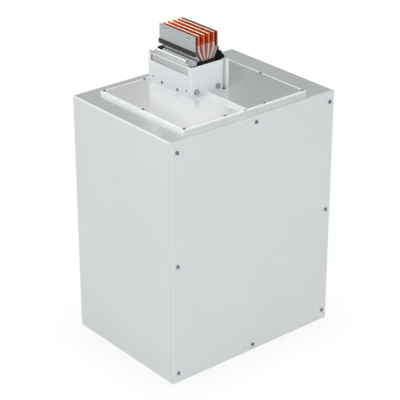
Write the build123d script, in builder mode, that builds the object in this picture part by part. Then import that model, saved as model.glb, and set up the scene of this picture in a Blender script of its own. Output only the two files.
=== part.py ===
from build123d import *
import os
from math import cos, radians, sin

# Busway cable feed section: a sheet steel cabinet where cables from below are bolted
# to four copper bars, which leave through the roof as the end of a busway trunk.
# Sizes are in millimetres. The origin is the centre of the base, +Z is up,
# the front cover faces -Y and +X is the width of the cover.

os.makedirs("parts", exist_ok=True)

# Cabinet shell
cabinet_width = 800.0
cabinet_depth = 595.0
cabinet_height = 1000.0
panel_t = 2.0
roof_bend_r = 4.0
roof_leg = 6.0
back_flange = 18.0
rail_width = 38.0
rail_height = 25.0
fixing_hole_r = 6.0
fixing_edge = 22.0
fixing_end = 67.5

# Front frame and cover
cover_t = 1.5
cover_depth = 12.0
cover_bend_r = 4.0
cover_gap = 0.5
frame_setback = 4.0
frame_face = 40.0
frame_web = 25.0
cover_screw_inset = 24.0
cover_screw_end = 42.0
rivet_nut_r = 5.5
rivet_flange_r = 7.5
rivet_flange_t = 1.2
rivet_length = 14.0
rivet_bore_r = 4.2
cover_screw_r = 3.9
cover_head_r = 7.8
cover_head_h = 4.6
cover_head_round = 3.2
cover_socket_flats = 4.7
seal_width = 8.0
seal_inset = 1.5
seat_gap = 0.3
hat_width = 36.0
hat_foot = 18.0
hat_depth = 15.0
hat_margin = 60.0

# Raised flange on the roof
flange_margin_left = 88.0
flange_margin_right = 110.0
flange_margin_front = 40.0
flange_margin_rear = 54.5
flange_h = 13.0
flange_bend_r = 3.0
seam_x = -21.0
seam_rise = 8.2
cap_width = 14.0
cap_t = 1.5
cap_rise = 10.0
flange_screw_inset = 11.0
flange_screw_inset_y = 11.5
flange_head_r = 6.0
flange_head_h = 3.2
small_shank_r = 2.9
small_hole_r = 3.4
weld_nut_flats = 10.0
weld_nut_h = 5.0
flange_seal_width = 18.0
roof_rim_x = 62.0
roof_rim_y = 36.0
roof_bolt_edge = 18.0

# Collar round the trunk, and the trunk's axis
trunk_x = -8.0
trunk_behind = 212.5
collar_width = 185.0
collar_depth = 260.0
collar_h = 124.0
collar_t = 2.0
collar_return = 22.0
collar_corner_r = 3.0
end_bend_start = 56.0
end_bend_r = 11.0
end_lip = 16.0
wall_h = 87.0
wall_lip = 12.5
post_depth = 16.0
post_drop = 2.0
upstand_h = 37.0
collar_gap = 0.5
band_t = 2.0
band_top_drop = 7.0
band_bottom = 5.0
band_near = 104.5
band_far = 113.0
band_roll_r = 2.2
tongue_t = 3.0
tongue_half = 93.0
tongue_shoulder = 11.0
shoulder_rise = 5.0
tongue_rise = 19.0
tongue_hole = 96.0
tongue_hole_r = 2.2
tongue_roll_r = 3.5
collar_bolt_x = (-68.6, 36.5)
collar_bolt_rise = 23.0
screw_end = 2.0
washer_r = 11.0
washer_t = 2.0
hex_flats = 17.0
hex_h = 6.5
hex_shank_r = 4.9
wall_screw_y = 46.5
wall_screw_rise = 15.0
wall_head_r = 6.5
wall_head_h = 3.6
wall_head_taper = 25.0
wall_shank_r = 3.9
corner_screw_y = 100.5
corner_screw_rise = 26.0
corner_head_r = 4.0
corner_head_h = 2.4
corner_shank_r = 1.9

# Trunk: bars, films, side plates, seals, housing and end blocks
trunk_rise = 107.0
bar_count = 4
bar_t = 6.0
bar_w = 210.0
bar_bend_r = 16.0
flare_bend_r = 60.0
flare_pitch = 24.4
flare_h = 59.0
stack_below_collar = 7.0
stack_below_roof = 100.0
film_t = 0.6
film_below_top = 39.0
film_tail = 30.0
splay_pitch = 120.0
splay_h = 170.0
lug_run = 260.0
lug_hole_r = 6.75
lug_spacing_y = 50.0
lug_spacing_z = 45.0
lug_edge = 30.0
lug_columns = 4
lug_rows = 2
plate_t = 3.0
plate_w = 212.0
plate_flare = 54.1
plate_flare_h = 66.0
plate_below_collar = 18.0
plate_below_roof = 85.0
stud_r = 6.5
stud_h = 3.4
stud_round = 3.0
stud_drop = 22.0
stud_y = (-65.0, 78.0)
joint_seal_out = 4.0
joint_seal_above = 5.0
joint_seal_below = 13.0
joint_seal_w = 218.0
housing_in = 36.0
housing_t = 5.0
housing_w = 210.0
housing_rise = 2.0
housing_below_collar = 29.0
housing_below_roof = 55.0
bead_r = 4.5
ledge_t = 2.5
ledge_below = 8.0
block_left = -50.0
block_right = 56.0
block_h = 42.0
block_rise = 5.0
block_corner_r = 5.0
lump_start = 32.0
lump_peak = (54.0, 33.0)
lump_knee = (66.0, 20.0)
lump_end = (76.0, 10.0)
lump_depth = 12.0
boss_r = 4.5
boss_h = 2.0
boss_points = ((54.5, 22.0), (66.0, 11.5))

# Carriers that hang the trunk from the roof
carrier_t = 3.0
carrier_w = 160.0
carrier_drop = 48.0
carrier_overlap = 30.0
carrier_bolt_y = 50.0
carrier_bolt_drop = 30.0
carrier_flats = 13.0
carrier_hex_h = 5.5
carrier_shank_r = 3.9
carrier_hole_r = 4.3

# Combs that hold the splayed bars, and their rail
comb_below_splay = 90.0
comb_h = 30.0
comb_half_width = 215.0
comb_slot_depth = 14.0
comb_body = 26.0
comb_r = 4.0
rod_r = 5.0
rod_hole_r = 5.3
rod_nut_flats = 17.0
rod_nut_h = 8.0
support_h = 50.0
support_depth = 40.0
support_t = 2.5
support_bend_r = 4.0

# Earth bar and cable rail
earth_margin = 100.0
earth_h = 40.0
earth_t = 8.0
earth_corner_r = 2.0
earth_z = 330.0
earth_behind = 57.5
earth_hole_r = 5.5
earth_hole_x = (60.0, 160.0)
earth_bolt_end = 55.0
earth_foot = 30.0
earth_bracket_h = 30.0
earth_bracket_t = 2.5
cable_rail_behind = 72.5
cable_rail_z = 230.0
cable_rail_h = 30.0
cable_rail_depth = 20.0
cable_rail_t = 2.0
cable_rail_slot = 12.0

# Gland plate over the cable entry in the floor
entry_margin = 150.0
entry_depth = 260.0
entry_y = 60.0
gland_margin = 30.0
gland_t = 4.0
gland_seal_t = 1.5
gland_corner_r = 8.0
gland_screw_inset = 15.0
gland_head_r = 6.0
gland_head_h = 3.6

# Places worked out from the sizes above
half_width = cabinet_width / 2
half_depth = cabinet_depth / 2
fixing_x = half_width - fixing_edge
fixing_y = half_depth - fixing_end
flange_left = flange_margin_left - half_width
flange_right = half_width - flange_margin_right
flange_front = flange_margin_front - half_depth
flange_rear = half_depth - flange_margin_rear
trunk_y = half_depth - trunk_behind
inner_x = half_width - panel_t
cover_back = -half_depth + cover_depth
shell_front = cover_back + cover_gap
cover_inside = -half_depth + cover_t
frame_front = cover_inside + frame_setback
frame_back = frame_front + panel_t + frame_web
frame_low = panel_t
frame_high = cabinet_height - panel_t
roof_under = cabinet_height - panel_t
roof_leg_z = cabinet_height - roof_leg
back_inner = half_depth - back_flange - panel_t
floor_top = rail_height + panel_t
plate_top = cabinet_height + flange_h
plate_under = plate_top - panel_t
collar_top = plate_top + collar_h
collar_x = collar_width / 2
collar_y = collar_depth / 2
wall_inner = collar_x - collar_t
upstand_x = wall_inner - collar_t
upstand_y = collar_y - 2 * collar_t
band_x = upstand_x
tongue_x = band_x - band_t
stack_pitch = bar_t + 2 * film_t + seat_gap
bar_places = [index - (bar_count - 1) / 2 for index in range(bar_count)]
stack_half = bar_places[-1] * stack_pitch + bar_t / 2 + film_t
plate_stack_x = stack_half + seat_gap + plate_t / 2
trunk_top = collar_top + trunk_rise
flare_bottom = trunk_top - flare_h
stack_top = collar_top - stack_below_collar
stack_bottom = cabinet_height - stack_below_roof
splay_bottom = stack_bottom - splay_h
lug_bottom = splay_bottom - lug_run
film_top = trunk_top - film_below_top
film_bottom = splay_bottom - film_tail
plate_bend = trunk_top - plate_flare_h
plate_stack_top = collar_top - plate_below_collar
plate_bottom = cabinet_height - plate_below_roof
joint_seal_top = plate_bend + joint_seal_above
joint_seal_bottom = plate_bend - joint_seal_below
housing_out = housing_in + housing_t
housing_top = collar_top + housing_rise
housing_flange_top = collar_top - housing_below_collar
housing_bottom = cabinet_height - housing_below_roof
block_top = collar_top + block_rise
block_bottom = block_top - block_h
block_back = plate_w / 2 + seat_gap
block_front = collar_y - collar_t - seat_gap
lump_back = joint_seal_w / 2 + seat_gap
comb_z = splay_bottom - comb_below_splay
comb_back = bar_w / 2 + seat_gap + comb_body
earth_half = half_width - earth_margin
earth_bolt_x = earth_half - earth_bolt_end
earth_y = half_depth - earth_behind
cable_rail_y = half_depth - cable_rail_behind
entry_width = cabinet_width - 2 * entry_margin
entry_front = entry_y - entry_depth / 2
entry_rear = entry_y + entry_depth / 2
gland_seat = floor_top + gland_seal_t
gland_x = entry_width / 2 + gland_margin
gland_y = entry_depth / 2 + gland_margin

cover_screw_x = half_width - cover_screw_inset
cover_screw_points = [
    (side * cover_screw_x, z)
    for side in (-1, 1)
    for z in (cover_screw_end, cabinet_height / 2, cabinet_height - cover_screw_end)
] + [(0, cover_screw_inset), (0, cabinet_height - cover_screw_inset)]

flange_span_x = flange_right - flange_left - 2 * flange_screw_inset
flange_span_y = flange_rear - flange_front - 2 * flange_screw_inset_y
flange_mid_x = (flange_left + flange_right) / 2
flange_mid_y = (flange_front + flange_rear) / 2
flange_screw_points = [
    (flange_mid_x + flange_span_x * (column / 3 - 0.5), flange_mid_y + row * flange_span_y / 2)
    for column in range(4)
    for row in (-1, 0, 1)
    if row != 0 or column in (0, 3)
]

seam_runs = (
    (flange_front, trunk_y - collar_y - seat_gap),
    (trunk_y + collar_y + seat_gap, flange_rear),
)
collar_bolt_places = [(x, plate_top + collar_bolt_rise) for x in collar_bolt_x]
wall_screw_places = [(side * wall_screw_y, plate_top + wall_screw_rise) for side in (-1, 1)]
corner_screw_places = [(side * corner_screw_y, plate_top + corner_screw_rise) for side in (-1, 1)]

carrier_roof_bolt = (flange_right - flange_left) / 2 - roof_rim_x + roof_bolt_edge
carrier_roof_y = carrier_w / 2 - carrier_overlap
carrier_side_places = [(side * carrier_bolt_y, roof_under - carrier_bolt_drop) for side in (-1, 1)]
carrier_roof_places = [(-carrier_roof_bolt, side * carrier_roof_y) for side in (-1, 1)]
rod_places = [(step * splay_pitch, comb_z + comb_h / 2) for step in (-1, 0, 1)]
earth_bolt_places = [(side * earth_bolt_x, earth_z) for side in (-1, 1)]

gland_screw_points = [
    (column * (gland_x - gland_screw_inset), entry_y + row * (gland_y - gland_screw_inset))
    for column in (-1, 0, 1)
    for row in (-1, 0, 1)
    if column != 0 or row != 0
]


def save(builder, name):
    """Label a finished piece and write it as one STEP file."""
    builder.part.label = name
    export_step(builder.part, f"parts/{name}.step")


def span(x0, x1, y0, y1, mode=Mode.ADD):
    """Rectangle in the open sketch between two values on each axis."""
    with Locations(((x0 + x1) / 2, (y0 + y1) / 2)):
        Rectangle(abs(x1 - x0), abs(y1 - y0), mode=mode)


def trunk_plan(height, turn=0):
    """Plan view on the trunk's axis, turned half round for the opposite copy."""
    c, s = round(cos(radians(turn))), round(sin(radians(turn)))
    return Plane(origin=(trunk_x, trunk_y, height), x_dir=(c, s, 0), z_dir=(0, 0, 1))


def trunk_front(turn=0):
    """Plane across the trunk that faces the front, with local y up."""
    c, s = round(cos(radians(turn))), round(sin(radians(turn)))
    return Plane(origin=(trunk_x, trunk_y, 0), x_dir=(c, s, 0), z_dir=(s, -c, 0))


def trunk_wall(turn=0):
    """Plane along the trunk that faces left, with local x towards the front."""
    c, s = round(cos(radians(turn))), round(sin(radians(turn)))
    return Plane(origin=(trunk_x, trunk_y, 0), x_dir=(s, -c, 0), z_dir=(-c, -s, 0))


def top_corners(builder):
    """Edges from front to back at the two upper outer corners, which meet the roof's bends."""
    edges = builder.edges().filter_by(Axis.Y)
    outermost = edges.filter_by(lambda edge: abs(edge.center().X) > inner_x - seat_gap)
    return outermost.filter_by(lambda edge: edge.center().Z > roof_under - seat_gap)


def wall_screw_holes(mode=Mode.ADD):
    """Clearance holes of one collar wall's four screws, in the open sketch."""
    with Locations(*wall_screw_places):
        Circle(wall_shank_r + seat_gap, mode=mode)
    with Locations(*corner_screw_places):
        Circle(corner_shank_r + seat_gap, mode=mode)


# Side panels, one for each side of the cabinet
def make_side_panel(side, name):
    with BuildPart() as side_panel:
        with BuildSketch(Plane.YZ.offset(side * inner_x)):
            span(shell_front, half_depth, 0, roof_leg_z)
        extrude(amount=side * panel_t)
    save(side_panel, name)


make_side_panel(-1, "side_panel_left")
make_side_panel(1, "side_panel_right")

# Roof panel: bent down over both side panels, open under the raised flange
with BuildPart() as roof_panel:
    with BuildSketch(Plane.XZ.offset(-half_depth)):
        with BuildLine():
            edge_x = half_width - panel_t / 2
            edge_z = cabinet_height - panel_t / 2
            FilletPolyline(
                (-edge_x, roof_leg_z),
                (-edge_x, edge_z),
                (edge_x, edge_z),
                (edge_x, roof_leg_z),
                radius=roof_bend_r - panel_t / 2,
            )
        trace(line_width=panel_t)
    extrude(amount=half_depth - shell_front)
    with BuildSketch(Plane.XY.offset(cabinet_height)):
        span(
            flange_left + roof_rim_x,
            flange_right - roof_rim_x,
            flange_front + roof_rim_y,
            flange_rear - roof_rim_y,
        )
        with Locations(*flange_screw_points):
            Circle(small_hole_r)
        with Locations((trunk_x, trunk_y)):
            with GridLocations(2 * carrier_roof_bolt, 2 * carrier_roof_y, 2, 2):
                Circle(carrier_hole_r)
    extrude(amount=-2 * panel_t, mode=Mode.SUBTRACT)
save(roof_panel, "roof_panel")

# Back panel: a pan with its flanges turned forwards inside the shell
with BuildPart() as back_panel:
    with BuildSketch(Plane.XZ.offset(-half_depth)):
        span(-inner_x, inner_x, panel_t, roof_under)
    extrude(amount=back_flange + panel_t)
    offset(amount=-panel_t, openings=back_panel.faces().sort_by(Axis.Y)[0])
    fillet(top_corners(back_panel), roof_bend_r - panel_t)
save(back_panel, "back_panel")

# Floor panel with its cable entry
with BuildPart() as floor_panel:
    with BuildSketch(Plane.XY.offset(rail_height)):
        span(-inner_x, inner_x, frame_back, back_inner)
        span(-entry_width / 2, entry_width / 2, entry_front, entry_rear, mode=Mode.SUBTRACT)
        with Locations(*gland_screw_points):
            Circle(small_hole_r, mode=Mode.SUBTRACT)
    extrude(amount=panel_t)
save(floor_panel, "floor_panel")


# Base rails: channels under the floor, open to the inside, with fixing holes
def make_base_rail(side, name):
    with BuildPart() as base_rail:
        with BuildSketch(Plane.XZ.offset(-back_inner)):
            with BuildLine():
                outer = side * (inner_x - panel_t / 2)
                inner = side * (inner_x - rail_width)
                FilletPolyline(
                    (inner, rail_height - panel_t / 2),
                    (outer, rail_height - panel_t / 2),
                    (outer, panel_t / 2),
                    (inner, panel_t / 2),
                    radius=roof_bend_r,
                )
            trace(line_width=panel_t)
        extrude(amount=back_inner - frame_back)
        with BuildSketch(Plane.XY):
            with Locations(*[(side * fixing_x, end * fixing_y) for end in (-1, 1)]):
                Circle(fixing_hole_r)
        extrude(amount=rail_height / 2, mode=Mode.SUBTRACT)
    save(base_rail, name)


make_base_rail(-1, "base_rail_left")
make_base_rail(1, "base_rail_right")

# Front frame: a face that carries the rivet nuts, and a web welded inside the shell
with BuildPart() as front_frame:
    with BuildSketch(Plane.XZ.offset(-frame_front - panel_t)):
        span(-inner_x, inner_x, frame_low, frame_high)
        span(
            -inner_x + frame_face,
            inner_x - frame_face,
            frame_low + frame_face,
            frame_high - frame_face,
            mode=Mode.SUBTRACT,
        )
        with Locations(*cover_screw_points):
            Circle(rivet_nut_r, mode=Mode.SUBTRACT)
    extrude(amount=panel_t)
    with BuildSketch(Plane.XZ.offset(-frame_back)):
        span(-inner_x, inner_x, frame_low, frame_high)
        span(
            -inner_x + panel_t,
            inner_x - panel_t,
            frame_low + panel_t,
            frame_high - panel_t,
            mode=Mode.SUBTRACT,
        )
    extrude(amount=frame_web)
    fillet(top_corners(front_frame), roof_bend_r - panel_t)
save(front_frame, "front_frame")

# Rivet nuts that take the cover screws
with BuildPart() as cover_rivet_nuts:
    with BuildSketch(Plane.XZ.offset(-frame_front)):
        with Locations(*cover_screw_points):
            Circle(rivet_flange_r)
            Circle(rivet_bore_r, mode=Mode.SUBTRACT)
    extrude(amount=rivet_flange_t)
    with BuildSketch(Plane.XZ.offset(-frame_front)):
        with Locations(*cover_screw_points):
            Circle(rivet_nut_r)
            Circle(rivet_bore_r, mode=Mode.SUBTRACT)
    extrude(amount=-rivet_length)
save(cover_rivet_nuts, "cover_rivet_nuts")

# Front cover: a shallow pan with rounded bends, drilled for its screws
with BuildPart() as front_cover:
    with BuildSketch(Plane.XZ.offset(-cover_back)):
        span(-half_width, half_width, 0, cabinet_height)
    extrude(amount=cover_depth)
    fillet(front_cover.faces().sort_by(Axis.Y)[0].edges(), cover_bend_r)
    offset(amount=-cover_t, openings=front_cover.faces().sort_by(Axis.Y)[-1])
    with BuildSketch(Plane.XZ.offset(half_depth)):
        with Locations(*cover_screw_points):
            Circle(cover_screw_r + seat_gap)
    extrude(amount=-2 * cover_t, mode=Mode.SUBTRACT)
save(front_cover, "front_cover")

# Hat section that stiffens the cover from behind
with BuildPart() as cover_stiffener:
    with BuildSketch(Plane.XY.offset(hat_margin)):
        with BuildLine():
            foot_y = cover_inside + cover_t / 2
            crown_y = cover_inside + hat_depth - cover_t / 2
            FilletPolyline(
                (-hat_width / 2 - hat_foot, foot_y),
                (-hat_width / 2, foot_y),
                (-hat_width / 2, crown_y),
                (hat_width / 2, crown_y),
                (hat_width / 2, foot_y),
                (hat_width / 2 + hat_foot, foot_y),
                radius=cover_t,
            )
        trace(line_width=cover_t)
    extrude(amount=cabinet_height - 2 * hat_margin)
save(cover_stiffener, "cover_stiffener")

# Foam seal on the cover, inside the ring of screws
with BuildPart() as cover_gasket:
    with BuildSketch(Plane.XZ.offset(-frame_front + seat_gap)):
        seal_x = inner_x - frame_face + seal_inset
        seal_low = frame_low + frame_face - seal_inset
        seal_high = frame_high - frame_face + seal_inset
        span(-seal_x - seal_width, seal_x + seal_width, seal_low - seal_width, seal_high + seal_width)
        span(-seal_x, seal_x, seal_low, seal_high, mode=Mode.SUBTRACT)
    extrude(amount=frame_setback - seat_gap)
save(cover_gasket, "cover_gasket")

# Captive cover screws with domed heads and a hexagon socket
with BuildPart() as cover_screws:
    with BuildSketch(Plane.XZ.offset(half_depth)):
        with Locations(*cover_screw_points):
            Circle(cover_head_r)
    extrude(amount=cover_head_h)
    fillet(cover_screws.faces().sort_by(Axis.Y)[: len(cover_screw_points)].edges(), cover_head_round)
    with BuildSketch(Plane.XZ.offset(half_depth)):
        with Locations(*cover_screw_points):
            Circle(cover_screw_r)
    extrude(amount=-(frame_front + half_depth) - rivet_length)
    with BuildSketch(Plane.XZ.offset(half_depth + cover_head_h)):
        with Locations(*cover_screw_points):
            RegularPolygon(cover_socket_flats / 2, 6, major_radius=False)
    extrude(amount=-cover_head_h / 2, mode=Mode.SUBTRACT)
save(cover_screws, "cover_screws")


# Raised flange halves: folded trays that meet at the seam and turn up round the trunk
def make_flange_plate(outer_x, name):
    with BuildPart() as flange_plate:
        with BuildSketch(Plane.XY.offset(cabinet_height)):
            span(outer_x, seam_x, flange_front, flange_rear)
        extrude(amount=flange_h)
        rim = flange_plate.faces().sort_by(Axis.Z)[-1].edges()
        fillet(rim.filter_by(lambda edge: abs(edge.center().X - seam_x) > panel_t), flange_bend_r)
        below = flange_plate.faces().sort_by(Axis.Z)[0]
        inside = flange_plate.faces().sort_by(Axis.X)[-1 if outer_x < seam_x else 0]
        offset(amount=-panel_t, openings=[below, inside])
        side = 1 if outer_x < seam_x else -1
        with BuildSketch(Plane.XY.offset(plate_under)):
            for near_y, far_y in seam_runs:
                span(seam_x, seam_x - side * panel_t, near_y, far_y)
        extrude(amount=panel_t + seam_rise)
        with BuildSketch(Plane.XY.offset(plate_under)):
            limit = trunk_x - side * (upstand_x + collar_t)
            span(limit, seam_x, trunk_y - upstand_y - collar_t, trunk_y + upstand_y + collar_t)
        extrude(amount=panel_t + upstand_h)
        with BuildSketch(Plane.XY.offset(plate_under)):
            opening = trunk_x - side * upstand_x
            span(opening, seam_x, trunk_y - upstand_y, trunk_y + upstand_y)
        extrude(amount=panel_t + upstand_h, mode=Mode.SUBTRACT)
        with BuildSketch(trunk_plan(plate_top, 180 if side > 0 else 0)):
            span(end_bend_start - seat_gap, upstand_x, -upstand_y - collar_t, -upstand_y)
        extrude(amount=upstand_h, mode=Mode.SUBTRACT)
        with BuildSketch(Plane.XY.offset(plate_under)):
            with Locations(*flange_screw_points):
                Circle(small_hole_r)
        extrude(amount=panel_t, mode=Mode.SUBTRACT)
        with BuildSketch(trunk_wall(0 if side > 0 else 180)):
            wall_screw_holes()
        extrude(amount=collar_width, mode=Mode.SUBTRACT)
        for facing in (0, 180):
            with BuildSketch(trunk_front(facing)):
                with Locations(*collar_bolt_places):
                    Circle(hex_shank_r + seat_gap)
            extrude(amount=collar_depth, mode=Mode.SUBTRACT)
    save(flange_plate, name)


make_flange_plate(flange_left, "flange_plate_left")
make_flange_plate(flange_right, "flange_plate_right")

# Cap pressed over the upturned edges of the seam, before and behind the collar
with BuildPart() as seam_cap:
    for near_y, far_y in seam_runs:
        with BuildSketch(Plane.XZ.offset(-far_y)):
            with BuildLine():
                leg_x = cap_width / 2 - cap_t / 2
                cap_z = plate_top + cap_rise - cap_t / 2
                FilletPolyline(
                    (seam_x - leg_x, plate_top + seat_gap),
                    (seam_x - leg_x, cap_z),
                    (seam_x + leg_x, cap_z),
                    (seam_x + leg_x, plate_top + seat_gap),
                    radius=cap_t,
                )
            trace(line_width=cap_t)
        extrude(amount=far_y - near_y)
save(seam_cap, "seam_cap")

# Soft frame between the roof and the raised flange
with BuildPart() as flange_gasket:
    with BuildSketch(Plane.XY.offset(cabinet_height)):
        near = panel_t + seat_gap
        deep = near + flange_seal_width
        span(flange_left + near, flange_right - near, flange_front + near, flange_rear - near)
        span(
            flange_left + deep,
            flange_right - deep,
            flange_front + deep,
            flange_rear - deep,
            mode=Mode.SUBTRACT,
        )
        with Locations(*flange_screw_points):
            Circle(small_hole_r, mode=Mode.SUBTRACT)
    extrude(amount=flange_h - panel_t - seat_gap)
save(flange_gasket, "flange_gasket")

# Screws round the raised flange
with BuildPart() as flange_screws:
    with BuildSketch(Plane.XY.offset(plate_top)):
        with Locations(*flange_screw_points):
            Circle(flange_head_r)
    extrude(amount=flange_head_h)
    heads = flange_screws.faces().sort_by(Axis.Z)[-len(flange_screw_points) :]
    chamfer(heads.edges(), flange_head_h / 2)
    with BuildSketch(Plane.XY.offset(plate_top)):
        with Locations(*flange_screw_points):
            Circle(small_shank_r)
    extrude(amount=-flange_h - panel_t - weld_nut_h)
save(flange_screws, "flange_screws")

# Weld nuts under the roof and under the floor
with BuildPart() as weld_nuts:
    for under, places in ((roof_under, flange_screw_points), (rail_height, gland_screw_points)):
        with BuildSketch(Plane.XY.offset(under)):
            with Locations(*places):
                RegularPolygon(weld_nut_flats / 2, 6, major_radius=False)
                Circle(small_hole_r, mode=Mode.SUBTRACT)
        extrude(amount=-weld_nut_h)
save(weld_nuts, "weld_nuts")


# Collar end plates: return flange, flat face with two bolts, and a rounded lip
def make_collar_end(turn, name):
    with BuildPart() as collar_end:
        with BuildSketch(trunk_plan(plate_top, turn)):
            with BuildLine():
                side_x = -collar_x + collar_t / 2
                face_y = -collar_y + collar_t / 2
                lip_x = end_bend_start + end_bend_r - collar_t / 2
                FilletPolyline(
                    (side_x, -collar_y + collar_return),
                    (side_x, face_y),
                    (lip_x, face_y),
                    (lip_x, -collar_y + end_lip),
                    radius=[collar_corner_r - collar_t / 2, end_bend_r - collar_t / 2],
                )
            trace(line_width=collar_t)
        extrude(amount=collar_h)
        with BuildSketch(trunk_front(turn)):
            with Locations(*collar_bolt_places):
                Circle(hex_shank_r + seat_gap)
        extrude(amount=collar_depth, mode=Mode.SUBTRACT)
    save(collar_end, name)


make_collar_end(0, "collar_end_front")
make_collar_end(180, "collar_end_rear")


# Collar side walls: a low wall with a taller post at one end, joggled behind the end plate
def make_collar_wall(turn, name):
    with BuildPart() as collar_wall:
        with BuildSketch(trunk_plan(plate_top, turn)):
            with BuildLine():
                side_x = -collar_x + collar_t / 2
                face_y = collar_y - collar_t / 2
                post_x = -collar_x + wall_lip - collar_t / 2
                strip_y = collar_y - end_lip - collar_gap - collar_t / 2
                FilletPolyline(
                    (side_x, -collar_y + collar_return + collar_gap),
                    (side_x, face_y),
                    (post_x, face_y),
                    (post_x, strip_y),
                    (-end_bend_start - end_bend_r + collar_t, strip_y),
                    radius=collar_corner_r - collar_t / 2,
                )
            trace(line_width=collar_t)
        extrude(amount=collar_h - post_drop)
        with BuildSketch(trunk_plan(plate_top + wall_h, turn)):
            span(-collar_x, -tongue_x, -collar_y, collar_y - post_depth)
        extrude(amount=collar_h, mode=Mode.SUBTRACT)
        with BuildSketch(trunk_wall(turn)):
            wall_screw_holes()
        extrude(amount=collar_width, mode=Mode.SUBTRACT)
    save(collar_wall, name)


make_collar_wall(0, "collar_wall_left")
make_collar_wall(180, "collar_wall_right")


# Bare metal bands that stand above the collar walls, with a rolled top edge
def make_joint_band(turn, name):
    with BuildPart() as joint_band:
        with BuildSketch(trunk_wall(turn).offset(band_x - band_t)):
            roll_z = collar_top - band_top_drop - band_roll_r
            span(-band_far, band_near, plate_top + band_bottom, roll_z)
            wall_screw_holes(mode=Mode.SUBTRACT)
        extrude(amount=band_t)
        with BuildSketch(trunk_front(turn).offset(-band_far)):
            with Locations((-tongue_x - band_roll_r, roll_z)):
                Circle(band_roll_r)
        extrude(amount=band_far + band_near)
    save(joint_band, name)


make_joint_band(0, "joint_band_left")
make_joint_band(180, "joint_band_right")


# Joint tongues behind the bands: stepped plates with a thicker roll along the top
def make_joint_tongue(turn, name):
    with BuildPart() as joint_tongue:
        with BuildSketch(trunk_wall(turn).offset(tongue_x - tongue_t)):
            low = plate_top + band_bottom
            reach = tongue_half + tongue_shoulder
            span(-reach, reach, low, collar_top + shoulder_rise)
            roll_z = collar_top + tongue_rise - tongue_roll_r
            span(-tongue_half, tongue_half, low, roll_z)
            wall_screw_holes(mode=Mode.SUBTRACT)
            hole_z = collar_top - tongue_hole_r
            with Locations((-tongue_hole, hole_z), (tongue_hole, hole_z)):
                Circle(tongue_hole_r, mode=Mode.SUBTRACT)
        extrude(amount=tongue_t)
        with BuildSketch(trunk_front(turn)):
            with Locations((-tongue_x + tongue_t / 2, roll_z)):
                Circle(tongue_roll_r)
        extrude(amount=tongue_half, both=True)
    save(joint_tongue, name)


make_joint_tongue(0, "joint_tongue_left")
make_joint_tongue(180, "joint_tongue_right")

# Hexagon bolts and washers of the collar end plates
with BuildPart() as collar_bolts:
    for turn in (0, 180):
        with BuildSketch(trunk_front(turn).offset(collar_y)):
            with Locations(*collar_bolt_places):
                Circle(washer_r)
        extrude(amount=washer_t)
        with BuildSketch(trunk_front(turn).offset(collar_y + washer_t)):
            with Locations(*collar_bolt_places):
                RegularPolygon(hex_flats / 2, 6, major_radius=False)
        extrude(amount=hex_h)
        with BuildSketch(trunk_front(turn).offset(collar_y)):
            with Locations(*collar_bolt_places):
                Circle(hex_shank_r)
        extrude(amount=-2 * collar_t - hex_h - screw_end)
save(collar_bolts, "collar_bolts")

# Round-headed screws of the collar walls, two large and two small on each side
with BuildPart() as wall_screws:
    for turn in (0, 180):
        grip_to_tongue = collar_x - tongue_x
        grip_to_nut = grip_to_tongue + tongue_t + hex_h + screw_end
        for places, head_r, head_h, shank_r, grip in (
            (wall_screw_places, wall_head_r, wall_head_h, wall_shank_r, grip_to_nut),
            (corner_screw_places, corner_head_r, corner_head_h, corner_shank_r, grip_to_tongue),
        ):
            with BuildSketch(trunk_wall(turn).offset(collar_x)):
                with Locations(*places):
                    Circle(head_r)
            extrude(amount=head_h, taper=wall_head_taper)
            with BuildSketch(trunk_wall(turn).offset(collar_x)):
                with Locations(*places):
                    Circle(shank_r)
            extrude(amount=-grip)
save(wall_screws, "wall_screws")

# Nuts inside the collar
with BuildPart() as collar_nuts:
    for turn in (0, 180):
        with BuildSketch(trunk_front(turn).offset(upstand_y)):
            with Locations(*collar_bolt_places):
                RegularPolygon(hex_flats / 2, 6, major_radius=False)
                Circle(hex_shank_r + seat_gap, mode=Mode.SUBTRACT)
        extrude(amount=-hex_h)
        with BuildSketch(trunk_wall(turn).offset(tongue_x - tongue_t)):
            with Locations(*wall_screw_places):
                RegularPolygon(carrier_flats / 2, 6, major_radius=False)
                Circle(wall_shank_r + seat_gap, mode=Mode.SUBTRACT)
        extrude(amount=-hex_h)
save(collar_nuts, "collar_nuts")


bar_bends = [flare_bend_r, bar_bend_r, bar_bend_r, bar_bend_r]


def bar_route(place, top, bottom):
    """Centre line of one bar, from the joint end down to its lugs."""
    return [
        (place * flare_pitch, top),
        (place * flare_pitch, flare_bottom),
        (place * stack_pitch, stack_top),
        (place * stack_pitch, stack_bottom),
        (place * splay_pitch, splay_bottom),
        (place * splay_pitch, bottom),
    ]


# Copper bars: flared for the joint, pressed into a flat stack, then splayed and drilled for lugs
for index, place in enumerate(bar_places):
    with BuildPart() as busbar:
        with BuildSketch(trunk_front()):
            with BuildLine():
                FilletPolyline(*bar_route(place, trunk_top, lug_bottom), radius=bar_bends)
            trace(line_width=bar_t)
        extrude(amount=bar_w / 2, both=True)
        lug_x = trunk_x + place * splay_pitch
        lug_z = lug_bottom + lug_edge + lug_spacing_z * (lug_rows - 1) / 2
        with BuildSketch(Plane(origin=(lug_x, trunk_y, lug_z), x_dir=(0, 1, 0), z_dir=(1, 0, 0))):
            with GridLocations(lug_spacing_y, lug_spacing_z, lug_columns, lug_rows):
                Circle(lug_hole_r)
        extrude(amount=bar_t, both=True, mode=Mode.SUBTRACT)
    save(busbar, f"busbar_{index + 1}")

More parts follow.
